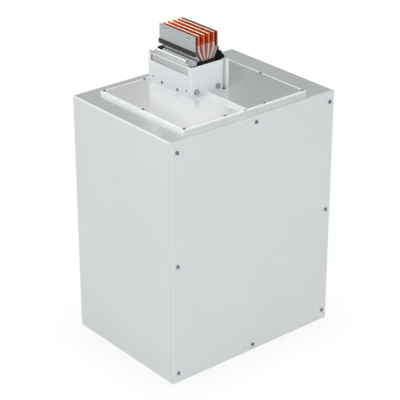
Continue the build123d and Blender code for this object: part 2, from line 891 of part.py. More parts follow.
# Clear insulating film wrapped round each bar
for index, place in enumerate(bar_places):
    with BuildPart() as bar_film:
        with BuildSketch(trunk_front()):
            with BuildLine():
                FilletPolyline(*bar_route(place, film_top, film_bottom), radius=bar_bends)
            trace(line_width=bar_t + 2 * film_t)
        extrude(amount=bar_w / 2 + film_t, both=True)
        with BuildSketch(trunk_front()):
            with BuildLine():
                FilletPolyline(*bar_route(place, trunk_top, lug_bottom), radius=bar_bends)
            trace(line_width=bar_t)
        extrude(amount=bar_w / 2, both=True, mode=Mode.SUBTRACT)
    save(bar_film, f"bar_film_{index + 1}")

plate_route = [
    (-plate_flare, trunk_top),
    (-plate_flare, plate_bend),
    (-plate_stack_x, plate_stack_top),
    (-plate_stack_x, plate_bottom),
]


# Side plates of the trunk, with two domed studs each, and the rubber seal along their bend
def make_trunk_side(turn, side):
    with BuildPart() as trunk_plate:
        with BuildSketch(trunk_front(turn)):
            with BuildLine():
                FilletPolyline(*plate_route, radius=bar_bend_r)
            trace(line_width=plate_t)
        extrude(amount=plate_w / 2, both=True)
        with BuildSketch(trunk_wall(turn).offset(plate_flare + plate_t / 2)):
            with Locations(*[(-y, trunk_top - stud_drop) for y in stud_y]):
                Circle(stud_r)
        extrude(amount=stud_h)
        outer = trunk_plate.faces().filter_by(Plane.YZ)
        studs = outer.filter_by(lambda face: face.area < (2 * stud_r) ** 2)
        fillet(studs.edges(), stud_round)
    save(trunk_plate, f"trunk_plate_{side}")

    with BuildPart() as joint_seal:
        with BuildSketch(trunk_front(turn)):
            with BuildLine():
                outer_x = -plate_flare - plate_t / 2 - joint_seal_out
                drop = (plate_bend - joint_seal_bottom) / (plate_bend - plate_stack_top)
                Polyline(
                    (-plate_flare, joint_seal_top),
                    (outer_x, joint_seal_top),
                    (outer_x, joint_seal_bottom),
                    (-plate_flare + drop * (plate_flare - plate_stack_x), joint_seal_bottom),
                    (-plate_flare, plate_bend),
                    close=True,
                )
            make_face()
        extrude(amount=joint_seal_w / 2, both=True)
        outer = joint_seal.faces().filter_by(Plane.YZ).sort_by(Axis.X)[0 if turn == 0 else -1]
        fillet(outer.edges(), joint_seal_out / 2)
        with BuildSketch(trunk_front(turn)):
            with BuildLine():
                FilletPolyline(*plate_route, radius=bar_bend_r)
            trace(line_width=plate_t + seat_gap)
        extrude(amount=joint_seal_w, both=True, mode=Mode.SUBTRACT)
    save(joint_seal, f"joint_seal_{side}")


make_trunk_side(0, "left")
make_trunk_side(180, "right")


# Housing profiles outside the bar stack, with a bead on top and a ledge out to the tongue
def make_housing(turn, name):
    with BuildPart() as housing:
        with BuildSketch(trunk_plan(housing_bottom, turn)):
            span(-housing_out, -plate_stack_x - plate_t / 2, -housing_w / 2, housing_w / 2)
            inside_y = housing_w / 2 - housing_t
            span(-housing_in, 0, -inside_y, inside_y, mode=Mode.SUBTRACT)
        extrude(amount=housing_flange_top - housing_bottom)
        with BuildSketch(trunk_plan(housing_flange_top, turn)):
            span(-housing_out, -housing_in, -housing_w / 2, housing_w / 2)
        extrude(amount=housing_top - bead_r - housing_flange_top)
        with BuildSketch(trunk_front(turn)):
            with Locations((-housing_in - housing_t / 2, housing_top - bead_r)):
                Circle(bead_r)
            ledge_z = housing_top - ledge_below
            span(-tongue_x + tongue_t + seat_gap, -housing_out, ledge_z - ledge_t, ledge_z)
        extrude(amount=housing_w / 2, both=True)
        with BuildSketch(trunk_wall(turn)):
            with Locations(*carrier_side_places):
                Circle(carrier_hole_r)
        extrude(amount=collar_width, mode=Mode.SUBTRACT)
    save(housing, name)


make_housing(0, "housing_left")
make_housing(180, "housing_right")


# Black moulded end blocks in front of and behind the bars, with a lump at the right end
def make_end_block(facing, name):
    plane = trunk_front().offset(block_back if facing > 0 else -block_back)
    depth = facing * (block_front - block_back)
    lump_plane = trunk_front().offset(facing * lump_back)
    with BuildPart() as end_block:
        with BuildSketch(plane):
            span(block_left, block_right, block_bottom, block_top)
        extrude(amount=depth)
        fillet(end_block.edges().filter_by(Axis.Z).sort_by(Axis.X)[:2], block_corner_r)
        with BuildSketch(lump_plane):
            with BuildLine():
                Polyline(
                    (lump_start, collar_top + block_rise),
                    (lump_peak[0], collar_top + lump_peak[1]),
                    (lump_knee[0], collar_top + lump_knee[1]),
                    (lump_end[0], collar_top + lump_end[1]),
                    (lump_end[0], collar_top + seat_gap),
                    (lump_start, collar_top + seat_gap),
                    close=True,
                )
            make_face()
        extrude(amount=facing * lump_depth)
        with BuildSketch(lump_plane.offset(facing * lump_depth)):
            with Locations(*[(x, collar_top + rise) for x, rise in boss_points]):
                Circle(boss_r)
        extrude(amount=facing * boss_h)
    save(end_block, name)


make_end_block(1, "end_block_front")
make_end_block(-1, "end_block_rear")


# Carriers: angles that hang the housing from the roof
def make_carrier(turn, name):
    with BuildPart() as carrier:
        with BuildSketch(trunk_front(turn)):
            with BuildLine():
                FilletPolyline(
                    (-housing_out - carrier_t / 2, roof_under - carrier_drop),
                    (-housing_out - carrier_t / 2, roof_under - carrier_t / 2),
                    (-carrier_roof_bolt - carrier_overlap / 2, roof_under - carrier_t / 2),
                    radius=carrier_t,
                )
            trace(line_width=carrier_t)
        extrude(amount=carrier_w / 2, both=True)
        with BuildSketch(trunk_wall(turn)):
            with Locations(*carrier_side_places):
                Circle(carrier_hole_r)
        extrude(amount=carrier_w, mode=Mode.SUBTRACT)
        with BuildSketch(trunk_plan(roof_under, turn)):
            with Locations(*carrier_roof_places):
                Circle(carrier_hole_r)
        extrude(amount=-2 * carrier_t, mode=Mode.SUBTRACT)
    save(carrier, name)


make_carrier(0, "trunk_carrier_left")
make_carrier(180, "trunk_carrier_right")

# Bolts of the carriers: into the housing from the side, and up through the roof into nuts
with BuildPart() as carrier_bolts:
    for turn in (0, 180):
        with BuildSketch(trunk_wall(turn).offset(housing_out + carrier_t)):
            with Locations(*carrier_side_places):
                RegularPolygon(carrier_flats / 2, 6, major_radius=False)
        extrude(amount=carrier_hex_h)
        with BuildSketch(trunk_wall(turn).offset(housing_out + carrier_t)):
            with Locations(*carrier_side_places):
                Circle(carrier_shank_r)
        extrude(amount=-carrier_t - housing_t - screw_end / 2)
        with BuildSketch(trunk_plan(roof_under - carrier_t, turn)):
            with Locations(*carrier_roof_places):
                RegularPolygon(carrier_flats / 2, 6, major_radius=False)
        extrude(amount=-carrier_hex_h)
        with BuildSketch(trunk_plan(roof_under - carrier_t, turn)):
            with Locations(*carrier_roof_places):
                Circle(carrier_shank_r)
        extrude(amount=carrier_t + panel_t + carrier_hex_h)
        with BuildSketch(trunk_plan(cabinet_height, turn)):
            with Locations(*carrier_roof_places):
                RegularPolygon(carrier_flats / 2, 6, major_radius=False)
        extrude(amount=carrier_hex_h)
save(carrier_bolts, "carrier_bolts")

# Combs: slotted insulating bars that hold the edges of the splayed bars
def make_comb(turn, name):
    with BuildPart() as bar_comb:
        with BuildSketch(trunk_plan(comb_z, turn)):
            span(-comb_half_width, comb_half_width, -comb_back, -bar_w / 2 + comb_slot_depth)
            with Locations(*[(place * splay_pitch, -bar_w / 2) for place in bar_places]):
                Rectangle(bar_t + 2 * seat_gap, 2 * seat_gap + 2 * comb_slot_depth, mode=Mode.SUBTRACT)
        extrude(amount=comb_h)
        ends = bar_comb.faces().filter_by(Plane.YZ).sort_by(Axis.X)
        fillet((ends[0].edges() + ends[-1].edges()).filter_by(Axis.Z), comb_r)
        with BuildSketch(trunk_front(turn)):
            with Locations(*rod_places):
                Circle(rod_hole_r)
        extrude(amount=comb_back + comb_r, mode=Mode.SUBTRACT)
    save(bar_comb, name)


make_comb(0, "bar_comb_front")
make_comb(180, "bar_comb_rear")

# Tie rods with their nuts
with BuildPart() as comb_tie_rods:
    front_end = -comb_back - rod_nut_h - screw_end
    rear_end = comb_back + support_t + rod_nut_h + screw_end
    with BuildSketch(trunk_front().offset(-rear_end)):
        with Locations(*rod_places):
            Circle(rod_r)
    extrude(amount=rear_end - front_end)
    for seat in (comb_back, -comb_back - support_t - rod_nut_h):
        with BuildSketch(trunk_front().offset(seat)):
            with Locations(*rod_places):
                RegularPolygon(rod_nut_flats / 2, 6, major_radius=False)
        extrude(amount=rod_nut_h)
save(comb_tie_rods, "comb_tie_rods")

# Channel rail behind the rear comb, welded between the side panels
with BuildPart() as support_rail:
    with BuildSketch(Plane.YZ.offset(-inner_x)):
        with BuildLine():
            web_y = trunk_y + comb_back + support_t / 2
            mid_z = comb_z + comb_h / 2
            reach = support_h / 2 - support_t / 2
            FilletPolyline(
                (web_y + support_depth, mid_z - reach),
                (web_y, mid_z - reach),
                (web_y, mid_z + reach),
                (web_y + support_depth, mid_z + reach),
                radius=support_bend_r,
            )
        trace(line_width=support_t)
    extrude(amount=2 * inner_x)
    with BuildSketch(trunk_front(180)):
        with Locations(*rod_places):
            Circle(rod_hole_r)
    extrude(amount=comb_back + support_depth, mode=Mode.SUBTRACT)
save(support_rail, "support_rail")

# Earth bar across the back
with BuildPart() as earth_bar:
    with BuildSketch(Plane.XZ.offset(-earth_y - earth_t)):
        span(-earth_half, earth_half, earth_z - earth_h / 2, earth_z + earth_h / 2)
        with Locations(*[(side * x, earth_z) for side in (-1, 1) for x in earth_hole_x]):
            Circle(earth_hole_r, mode=Mode.SUBTRACT)
        with Locations(*earth_bolt_places):
            Circle(carrier_hole_r, mode=Mode.SUBTRACT)
    extrude(amount=earth_t)
    corners = earth_bar.edges().filter_by(Axis.Y).filter_by(GeomType.LINE)
    fillet(corners, earth_corner_r)
save(earth_bar, "earth_bar")

# Z brackets that carry the earth bar on the back panel
with BuildPart() as earth_brackets:
    for side in (-1, 1):
        with BuildSketch(Plane.XY.offset(earth_z - earth_bracket_h / 2)):
            with BuildLine():
                back_y = half_depth - panel_t - earth_bracket_t / 2
                bar_y = earth_y + earth_t + earth_bracket_t / 2
                leg = side * (earth_bolt_x + earth_foot / 2)
                FilletPolyline(
                    (leg + side * earth_foot, back_y),
                    (leg, back_y),
                    (leg, bar_y),
                    (leg - side * earth_foot, bar_y),
                    radius=earth_bracket_t,
                )
            trace(line_width=earth_bracket_t)
        extrude(amount=earth_bracket_h)
    with BuildSketch(Plane.XZ.offset(-half_depth)):
        with Locations(*earth_bolt_places):
            Circle(carrier_hole_r)
    extrude(amount=half_depth, mode=Mode.SUBTRACT)
save(earth_brackets, "earth_brackets")

# Bolts of the earth bar
with BuildPart() as earth_bolts:
    nut_y = earth_y + earth_t + earth_bracket_t
    with BuildSketch(Plane.XZ.offset(-earth_y)):
        with Locations(*earth_bolt_places):
            RegularPolygon(carrier_flats / 2, 6, major_radius=False)
    extrude(amount=carrier_hex_h)
    with BuildSketch(Plane.XZ.offset(-earth_y)):
        with Locations(*earth_bolt_places):
            Circle(carrier_shank_r)
    extrude(amount=-earth_t - earth_bracket_t - carrier_hex_h)
    with BuildSketch(Plane.XZ.offset(-nut_y)):
        with Locations(*earth_bolt_places):
            RegularPolygon(carrier_flats / 2, 6, major_radius=False)
    extrude(amount=-carrier_hex_h)
save(earth_bolts, "earth_bolts")

# Slotted rail for the cable clamps
with BuildPart() as cable_rail:
    with BuildSketch(Plane.YZ.offset(-inner_x)):
        with BuildLine():
            front_y = cable_rail_y + cable_rail_t / 2
            rear_y = cable_rail_y + cable_rail_depth - cable_rail_t / 2
            reach = cable_rail_h / 2 - cable_rail_t / 2
            FilletPolyline(
                (front_y, cable_rail_z - cable_rail_slot / 2),
                (front_y, cable_rail_z - reach),
                (rear_y, cable_rail_z - reach),
                (rear_y, cable_rail_z + reach),
                (front_y, cable_rail_z + reach),
                (front_y, cable_rail_z + cable_rail_slot / 2),
                radius=cable_rail_t,
            )
        trace(line_width=cable_rail_t)
    extrude(amount=2 * inner_x)
save(cable_rail, "cable_rail")

# Gland plate, blank until the cables are known, with its seal and screws
with BuildPart() as gland_plate:
    with BuildSketch(Plane.XY.offset(gland_seat)):
        with Locations((0, entry_y)):
            RectangleRounded(2 * gland_x, 2 * gland_y, gland_corner_r)
        with Locations(*gland_screw_points):
            Circle(small_hole_r, mode=Mode.SUBTRACT)
    extrude(amount=gland_t)
save(gland_plate, "gland_plate")

with BuildPart() as gland_gasket:
    with BuildSketch(Plane.XY.offset(floor_top)):
        with Locations((0, entry_y)):
            RectangleRounded(2 * gland_x, 2 * gland_y, gland_corner_r)
            Rectangle(entry_width, entry_depth, mode=Mode.SUBTRACT)
        with Locations(*gland_screw_points):
            Circle(small_hole_r, mode=Mode.SUBTRACT)
    extrude(amount=gland_seal_t)
save(gland_gasket, "gland_gasket")

with BuildPart() as gland_screws:
    with BuildSketch(Plane.XY.offset(gland_seat + gland_t)):
        with Locations(*gland_screw_points):
            Circle(gland_head_r)
    extrude(amount=gland_head_h)
    heads = gland_screws.faces().sort_by(Axis.Z)[-len(gland_screw_points) :]
    chamfer(heads.edges(), gland_head_h / 2)
    with BuildSketch(Plane.XY.offset(gland_seat + gland_t)):
        with Locations(*gland_screw_points):
            Circle(small_shank_r)
    extrude(amount=-gland_t - gland_seal_t - panel_t - weld_nut_h)
save(gland_screws, "gland_screws")
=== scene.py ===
"""Looks of the busway cable feed section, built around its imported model.

Lengths are in metres and places are in the model's frame: the origin is the centre of
the base, X runs along the front cover, -Y is the front and Z is up.
"""

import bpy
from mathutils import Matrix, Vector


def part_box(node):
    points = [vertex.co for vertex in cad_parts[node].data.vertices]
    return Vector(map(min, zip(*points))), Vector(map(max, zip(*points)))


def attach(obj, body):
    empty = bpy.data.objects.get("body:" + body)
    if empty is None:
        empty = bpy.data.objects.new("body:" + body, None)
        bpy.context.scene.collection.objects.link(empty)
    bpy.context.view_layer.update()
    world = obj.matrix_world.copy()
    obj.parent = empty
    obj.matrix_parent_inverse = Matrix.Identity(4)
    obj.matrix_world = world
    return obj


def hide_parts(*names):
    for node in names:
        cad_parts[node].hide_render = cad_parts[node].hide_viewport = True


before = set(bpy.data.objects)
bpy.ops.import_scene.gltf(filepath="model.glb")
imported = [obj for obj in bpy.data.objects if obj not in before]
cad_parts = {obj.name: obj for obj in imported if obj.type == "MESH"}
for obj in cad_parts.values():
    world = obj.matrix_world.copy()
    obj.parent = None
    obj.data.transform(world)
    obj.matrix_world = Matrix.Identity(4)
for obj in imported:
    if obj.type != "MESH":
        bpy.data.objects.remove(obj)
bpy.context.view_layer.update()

import logging
import math
import random
from dataclasses import dataclass, field, replace
from enum import Enum
from functools import partial
from typing import Callable, ClassVar, Iterable, Sequence

import bmesh
import bpy
from bmesh.types import BMEdge, BMesh, BMVert
from bpy.types import ID, Material, Mesh, Node, NodeOutputs, NodeTree, Object
from bpy.types import NodeSocket as Socket
from mathutils import Matrix, Vector, noise

log = logging.getLogger("feed_section")

Colour = tuple[float, float, float, float]
Place = tuple[float, float, float]
Pair = tuple[float, float]
Spot = tuple[Place, Place]
Profile = Sequence[Pair]

MM = 0.001
MICRON = 0.000001
HAIR = 1e-6
UP: Place = (0.0, 0.0, 1.0)
FRONT: Place = (0.0, -1.0, 0.0)
WHITE: Colour = (1.0, 1.0, 1.0, 1.0)


class Body(str, Enum):
    """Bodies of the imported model."""

    CABINET = "cabinet"
    COVER = "cover"
    GLAND = "gland"


class Drive(Enum):
    """Recess or shape that a screwdriver or spanner turns."""

    NONE = "none"
    CROSS = "cross"
    SOCKET = "socket"
    HEXAGON = "hexagon"


class Slot(str, Enum):
    """Material slots of the record, named here but not used by the new pieces."""

    ZINC = "zinc_steel"
    FILM = "clear_film"


def srgb(*display: int) -> Colour:
    """Turn display values into a linear colour.

    Args:
        display: Red, green and blue from 0 to 255.

    Returns:
        The linear colour with full alpha.
    """
    shares = (value / 255 for value in display)
    red, green, blue = (s / 12.92 if s <= 0.04045 else ((s + 0.055) / 1.055) ** 2.4 for s in shares)
    return (red, green, blue, 1.0)


def darker(colour: Colour, share: float) -> Colour:
    """Give a colour with each of its channels multiplied by a share."""
    return (colour[0] * share, colour[1] * share, colour[2] * share, 1.0)


class NodeSheet:
    """Adds nodes to one shader tree and wires them up."""

    def __init__(self, tree: NodeTree) -> None:
        """Keep the tree that is being built."""
        self.tree = tree

    def put(self, value: object, target: Socket) -> None:
        """Link a socket to an input, or set a plain value on it.

        Args:
            value: Socket or plain value.
            target: The input.
        """
        if isinstance(value, Socket):
            self.tree.links.new(value, target)
        else:
            target.default_value = value

    def add(
        self, kind: str, values: dict[str | int, object] | None = None, **settings: object
    ) -> Node:
        """Add a node.

        Args:
            kind: Blender's name for the node type.
            values: Plain value or socket for its inputs, by label or number.
            settings: Properties to set on the new node.

        Returns:
            The new node.
        """
        node = self.tree.nodes.new(kind)
        for key, setting in settings.items():
            setattr(node, key, setting)
        for label, value in (values or {}).items():
            self.put(value, node.inputs[label])
        return node

    def math(self, operation: str, *values: object) -> Socket:
        """Work out an operation on one or two sockets or numbers."""
        return self.add("ShaderNodeMath", dict(enumerate(values)), operation=operation).outputs[0]

    def vector(self, operation: str, first: Socket, second: Socket) -> Socket:
        """Work out an operation on two vectors that gives a vector."""
        values = {0: first, 1: second}
        return self.add("ShaderNodeVectorMath", values, operation=operation).outputs["Vector"]

    def axes(self, vector: Socket) -> NodeOutputs:
        """Split a vector and give its X, Y and Z outputs."""
        return self.add("ShaderNodeSeparateXYZ", {0: vector}).outputs

    def normal(self) -> NodeOutputs:
        """Give the X, Y and Z outputs of the way that the surface faces."""
        return self.axes(self.add("ShaderNodeNewGeometry").outputs["Normal"])

    def blend(self, factor: Socket, first: object, second: object) -> Socket:
        """Mix two colours, as sockets or values, by a factor that is the share of the second."""
        values = {0: factor, 6: first, 7: second}
        return self.add("ShaderNodeMix", values, data_type="RGBA").outputs[2]

    def spread(
        self, value: Socket, low: float, high: float, start: object = 0.0, end: object = 1.0
    ) -> Socket:
        """Map a value that runs from start to end to one from low to high, and stop there."""
        values = {"Value": value, "From Min": start, "From Max": end, "To Min": low, "To Max": high}
        return self.add("ShaderNodeMapRange", values).outputs[0]

    def rays(self, *kinds: str) -> Socket:
        """Tell some kinds of ray from all others.

        Args:
            kinds: Outputs of the light path that name them.

        Returns:
            1 for these rays and 0 for the others.
        """
        path = self.add("ShaderNodeLightPath").outputs
        found = path[kinds[0]]
        for kind in kinds[1:]:
            found = self.math("MAXIMUM", found, path[kind])
        return found

    def choose(self, factor: Socket, first: Socket, second: Socket) -> Socket:
        """Mix two shaders by a factor that is the share of the second."""
        return self.add("ShaderNodeMixShader", {0: factor, 1: first, 2: second}).outputs[0]


class Effect(NodeSheet):
    """A shader node group that several finishes share, built once."""

    made: ClassVar[dict[str, NodeTree]] = {}

    def __init__(self, name: str, inputs: dict[str, str], outputs: dict[str, str]) -> None:
        """Create the group with its named sockets.

        Args:
            name: Name of the group.
            inputs: Socket kind of each input by name.
            outputs: Socket kind of each output by name.
        """
        group = bpy.data.node_groups.new(name, "ShaderNodeTree")
        for way, sockets in (("INPUT", inputs), ("OUTPUT", outputs)):
            for label, kind in sockets.items():
                group.interface.new_socket(name=label, in_out=way, socket_type=f"NodeSocket{kind}")
        super().__init__(group)
        self.source = self.add("NodeGroupInput")
        self.result = self.add("NodeGroupOutput")
        Effect.made[name] = group

    def given(self, label: str) -> Socket:
        """Give one of the group's inputs."""
        return self.source.outputs[label]

    def out(self, label: str, socket: Socket) -> None:
        """Send a socket to one of the group's outputs."""
        self.put(socket, self.result.inputs[label])

    def noise(self, detail: float, roughness: float = 0.5, vector: Socket | None = None) -> Socket:
        """Give noise at the group's Scale, read at its Vector or at another place."""
        values = {
            "Vector": self.given("Vector") if vector is None else vector,
            "Scale": self.given("Scale"), "Detail": detail, "Roughness": roughness,
        }
        return self.add("ShaderNodeTexNoise", values).outputs["Fac"]


def build_patterns() -> None:
    """Build the node groups whose patterns the finishes share."""
    place = {"Vector": "Vector", "Scale": "Float"}
    mask, colour = {"Mask": "Float"}, {"Color": "Color"}

    drift = Effect("tone_drift", {**place, "Base": "Color", "Far": "Color"}, {**colour, **mask})
    cloud = drift.spread(drift.noise(detail=4.0, roughness=0.6), low=-0.6, high=1.6)
    cloud = drift.math("MINIMUM", drift.math("MAXIMUM", cloud, 0.0), 1.0)
    drift.out("Mask", cloud)
    drift.out("Color", drift.blend(cloud, drift.given("Base"), drift.given("Far")))

    peel = Effect("orange_peel", {**place, "Depth": "Float"}, {"Height": "Float"})
    peel.out("Height", peel.math("MULTIPLY", peel.noise(detail=2.0), peel.given("Depth")))

    lines = Effect("drawn_lines", {**place, "Stretch": "Vector"}, mask)
    scaled = lines.vector("MULTIPLY", lines.given("Vector"), lines.given("Stretch"))
    lines.out("Mask", lines.noise(detail=3.0, roughness=0.7, vector=scaled))

    spangle = Effect("zinc_spangle", place, mask)
    values = {label: spangle.given(label) for label in place}
    cells = spangle.add("ShaderNodeTexVoronoi", values, feature="F1")
    parted = spangle.add("ShaderNodeSeparateColor", {0: cells.outputs["Color"]})
    spangle.out("Mask", parted.outputs[0])

    given = {**place, "Base": "Color", "Dust": "Color", "Amount": "Float"}
    dust = Effect("settled_dust", given, colour)
    upward = dust.math("MAXIMUM", dust.normal()["Z"], 0.0)
    share = dust.math("MULTIPLY", upward, dust.given("Amount"))
    share = dust.math("MULTIPLY", share, dust.noise(detail=6.0, roughness=0.65))
    dust.out("Color", dust.blend(share, dust.given("Base"), dust.given("Dust")))


def build_masks() -> None:
    """Build the node groups that tell the faces and borders of a piece apart."""
    mask = {"Mask": "Float"}
    masks = {"Along": "Float", "Up": "Float", "Bend": "Float"}
    facing = Effect("facing", {"Start": "Float", "End": "Float"}, masks)
    normal = facing.normal()
    for axis, label in (("Y", "Along"), ("Z", "Up")):
        aim = facing.math("ABSOLUTE", normal[axis])
        facing.out(label, facing.spread(aim, 0.0, 1.0, facing.given("Start"), facing.given("End")))
    level = facing.math("ABSOLUTE", normal["Z"])
    lean = facing.math("MULTIPLY", level, facing.math("SUBTRACT", 1.0, level))
    bend_gain = 6.0
    facing.out("Bend", facing.math("MINIMUM", facing.math("MULTIPLY", lean, bend_gain), 1.0))

    ramp = Effect("front_ramp", {"Vector": "Vector", "Back": "Float", "Front": "Float"}, mask)
    along = ramp.axes(ramp.given("Vector"))["Y"]
    ramp.out("Mask", ramp.spread(along, 0.0, 1.0, ramp.given("Back"), ramp.given("Front")))

    given = {"Vector": "Vector", "Low": "Vector", "High": "Vector", "Width": "Float"}
    rim = Effect("rim", given, mask)
    gaps: list[Socket] = []
    for first, second in (("Vector", "Low"), ("High", "Vector")):
        gap = rim.axes(rim.vector("SUBTRACT", rim.given(first), rim.given(second)))
        gaps.append(rim.math("MINIMUM", gap["X"], gap["Y"]))
    rim.out("Mask", rim.math("LESS_THAN", rim.math("MINIMUM", *gaps), rim.given("Width")))


class Surface(NodeSheet):
    """A material in the making: one Principled shader and the pattern nodes that feed it."""

    made: ClassVar[dict[str, Material]] = {}

    def __init__(self, name: str) -> None:
        """Create the material and its shader."""
        self.material = bpy.data.materials.new(name)
        self.material.use_nodes = True
        super().__init__(self.material.node_tree)
        self.tree.nodes.clear()
        self.shader = self.add("ShaderNodeBsdfPrincipled")
        self.add("ShaderNodeOutputMaterial", {0: self.shader.outputs[0]})
        self.place = self.add("ShaderNodeTexCoord").outputs["Object"]

    def effect(self, name: str, **values: object) -> NodeOutputs:
        """Place a shared effect on the piece's own coordinates.

        Args:
            name: Name of the effect.
            values: Value or socket for each of its inputs.

        Returns:
            Its outputs by name.
        """
        node = self.add("ShaderNodeGroup", node_tree=Effect.made[name])
        if "Vector" in node.inputs:
            values["Vector"] = self.place
        for label, value in values.items():
            self.put(value, node.inputs[label])
        return node.outputs

    def feed(self, label: str, value: object) -> None:
        """Link a socket to the shader, or set a plain value on it."""
        self.put(value, self.shader.inputs[label])

    def roughen(self, mask: Socket, rough: Pair) -> None:
        """Spread the roughness between two values by a mask."""
        self.feed("Roughness", self.spread(mask, *rough))

    def relief(self, height: Socket) -> None:
        """Turn a height in metres into the shader's normal."""
        bump = self.add("ShaderNodeBump", {"Strength": 1.0, "Distance": 1.0, "Height": height})
        self.feed("Normal", bump.outputs["Normal"])

    def grain(self, scale: float, depth: float) -> None:
        """Give the surface a fine grain of some depth in metres."""
        self.relief(self.effect("orange_peel", Scale=scale, Depth=depth)["Height"])


@dataclass(frozen=True)
class Finish:
    """What every finish has: a name, a colour and how rough it is."""

    name: str
    colour: Colour
    rough: Pair

    def build(self) -> Material:
        """Make the material, or give the one that was made before."""
        if self.name not in Surface.made:
            surface = Surface(self.name)
            self.dress(surface)
            Surface.made[self.name] = surface.material
        return Surface.made[self.name]

    def dress(self, surface: Surface) -> None:
        """Wire up the finish; each kind of finish has its own."""
        raise NotImplementedError


@dataclass(frozen=True)
class PowderCoat(Finish):
    """Baked powder paint with a fine orange peel, a slow change of tone and settled dust.

    It may have a gloss on level faces, a painted highlight on bends and along a rim, and a painted
    shade on faces that look along Y.
    """

    tone_scale: float = 2.4
    tone_drop: float = 0.965
    dust: float = 0.1
    dust_scale: float = 38.0
    dust_colour: Colour = srgb(176, 172, 164)
    peel: float = 16 * MICRON
    peel_scale: float = 620.0
    flake: float = 0.0
    gloss: float = 0.0
    gloss_index: float = 1.5
    gloss_rough: float = 0.8
    # Painted highlight colour for bends and the rim.
    bend: Colour | None = None
    # Painted shade colour for faces that look along Y, darker than a painted-lit top.
    front: Colour | None = None
    # Box whose border on level faces takes the painted highlight too.
    rim: tuple[Place, Place] | None = None
    highlight_rim_width: float = 10 * MM

    def dress(self, surface: Surface) -> None:
        """Wire up tone, dust, the painted highlight on bends and rim, the painted shade along Y,
        gloss and peel.
        """
        tone_far = darker(self.colour, self.tone_drop)
        tone = surface.effect("tone_drift", Scale=self.tone_scale, Base=self.colour, Far=tone_far)
        dusted = surface.effect(
            "settled_dust", Scale=self.dust_scale, Base=tone["Color"], Dust=self.dust_colour,
            Amount=self.dust,
        )
        facing = surface.effect("facing", Start=0.4, End=0.9)
        # Where the painted highlight goes: bends, and the rim's border on level faces.
        bend = facing["Bend"]
        if self.rim:
            rim = surface.effect("rim", Low=self.rim[0], High=self.rim[1], Width=self.highlight_rim_width)
            border = surface.math("MULTIPLY", rim["Mask"], facing["Up"])
            bend = surface.math("MAXIMUM", bend, border)
        colour = surface.blend(bend, dusted["Color"], self.bend or self.colour)
        # Painted shade on faces that look along Y.
        if self.front:
            colour = surface.blend(facing["Along"], colour, self.front)
        surface.feed("Base Color", colour)
        surface.roughen(tone["Mask"], self.rough)
        if self.gloss:
            level = surface.math("SUBTRACT", facing["Up"], bend)
            surface.feed("Metallic", surface.spread(level, 0.0, self.flake))
            surface.feed("Coat Weight", surface.spread(level, 0.0, self.gloss))
            surface.feed("Coat Roughness", self.rough[0] * self.gloss_rough)
            surface.feed("Coat IOR", self.gloss_index)
        surface.grain(self.peel_scale, self.peel)


@dataclass(frozen=True)
class SpangledZinc(Finish):
    """Hot dip galvanised sheet with its crystals."""

    size: float = 95.0
    crystal_drop: float = 0.8
    grain: float = 400.0
    depth: float = 12 * MICRON

    def dress(self, surface: Surface) -> None:
        """Wire up crystals in colour and gloss."""
        crystal = surface.effect("zinc_spangle", Scale=self.size)["Mask"]
        dark = darker(self.colour, self.crystal_drop)
        surface.feed("Metallic", 1.0)
        surface.feed("Base Color", surface.blend(crystal, self.colour, dark))
        surface.roughen(crystal, self.rough)
        surface.grain(self.grain, self.depth)


@dataclass(frozen=True)
class DrawnMetal(Finish):
    """Rolled, drawn or turned metal with fine lines one way and a slight change of tone."""

    stretch: Place = (1.0, 1.0, 0.03)
    fineness: float = 900.0
    depth: float = 6 * MICRON
    metallic: float = 1.0
    stain: Colour | None = None
    stain_scale: float = 24.0
    stain_drop: float = 0.86
    line: float = 0.82

    def dress(self, surface: Surface) -> None:
        """Wire up lines in tone, gloss and relief, and stains."""
        lines = surface.effect("drawn_lines", Scale=self.fineness, Stretch=self.stretch)["Mask"]
        stain = self.stain or darker(self.colour, self.stain_drop)
        stained = surface.effect("tone_drift", Scale=self.stain_scale, Base=self.colour, Far=stain)
        lined = surface.blend(lines, stained["Color"], darker(self.colour, self.line))
        self.colour_in(surface, lined)
        surface.roughen(lines, self.rough)
        surface.relief(surface.math("MULTIPLY", lines, self.depth))

    def colour_in(self, surface: Surface, lined: Socket) -> None:
        """Feed the lined colour and the metal's share to the shader."""
        surface.feed("Base Color", lined)
        surface.feed("Metallic", self.metallic)


@dataclass(frozen=True)
class SawnBar(DrawnMetal):
    """Rolled bar or sheet with flat tones laid on its upper edges, ends and leaning faces and a
    ramp of tone toward the front, which the finishes below use for painted highlights, painted
    shade and painted light.
    """

    # Tone laid flat and nearly without metal on upward faces: a painted highlight on the copper,
    # bands and tongues, painted shade on the housing.
    cut: Colour = WHITE
    cut_metallic: float = 0.1
    # Tone laid on faces that look along Y: painted shade on the housing, bands and tongues.
    end: Colour = WHITE
    # Tone laid on leaning faces: a painted highlight on the housing, bands, tongues and side
    # plates.
    lean: Colour | None = None
    # Painted light: a paler tone that the surface turns to toward the front, between the two places
    # below.
    painted_light: Colour | None = None
    painted_light_back: float = 190 * MM
    painted_light_front: float = -30 * MM

    def colour_in(self, surface: Surface, lined: Socket) -> None:
        """Feed the lined colour with the painted light ramp and the painted highlight and shade
        tones of its other faces laid over it.
        """
        facing = surface.effect("facing", Start=0.55, End=0.85)
        if self.painted_light:
            ramp = surface.effect("front_ramp", Back=self.painted_light_back, Front=self.painted_light_front)
            lined = surface.blend(ramp["Mask"], lined, self.painted_light)
        if self.lean:
            lined = surface.blend(facing["Bend"], lined, self.lean)
        lined = surface.blend(facing["Along"], lined, self.end)
        surface.feed("Base Color", surface.blend(facing["Up"], lined, self.cut))
        surface.feed("Metallic", surface.spread(facing["Up"], self.metallic, self.cut_metallic))


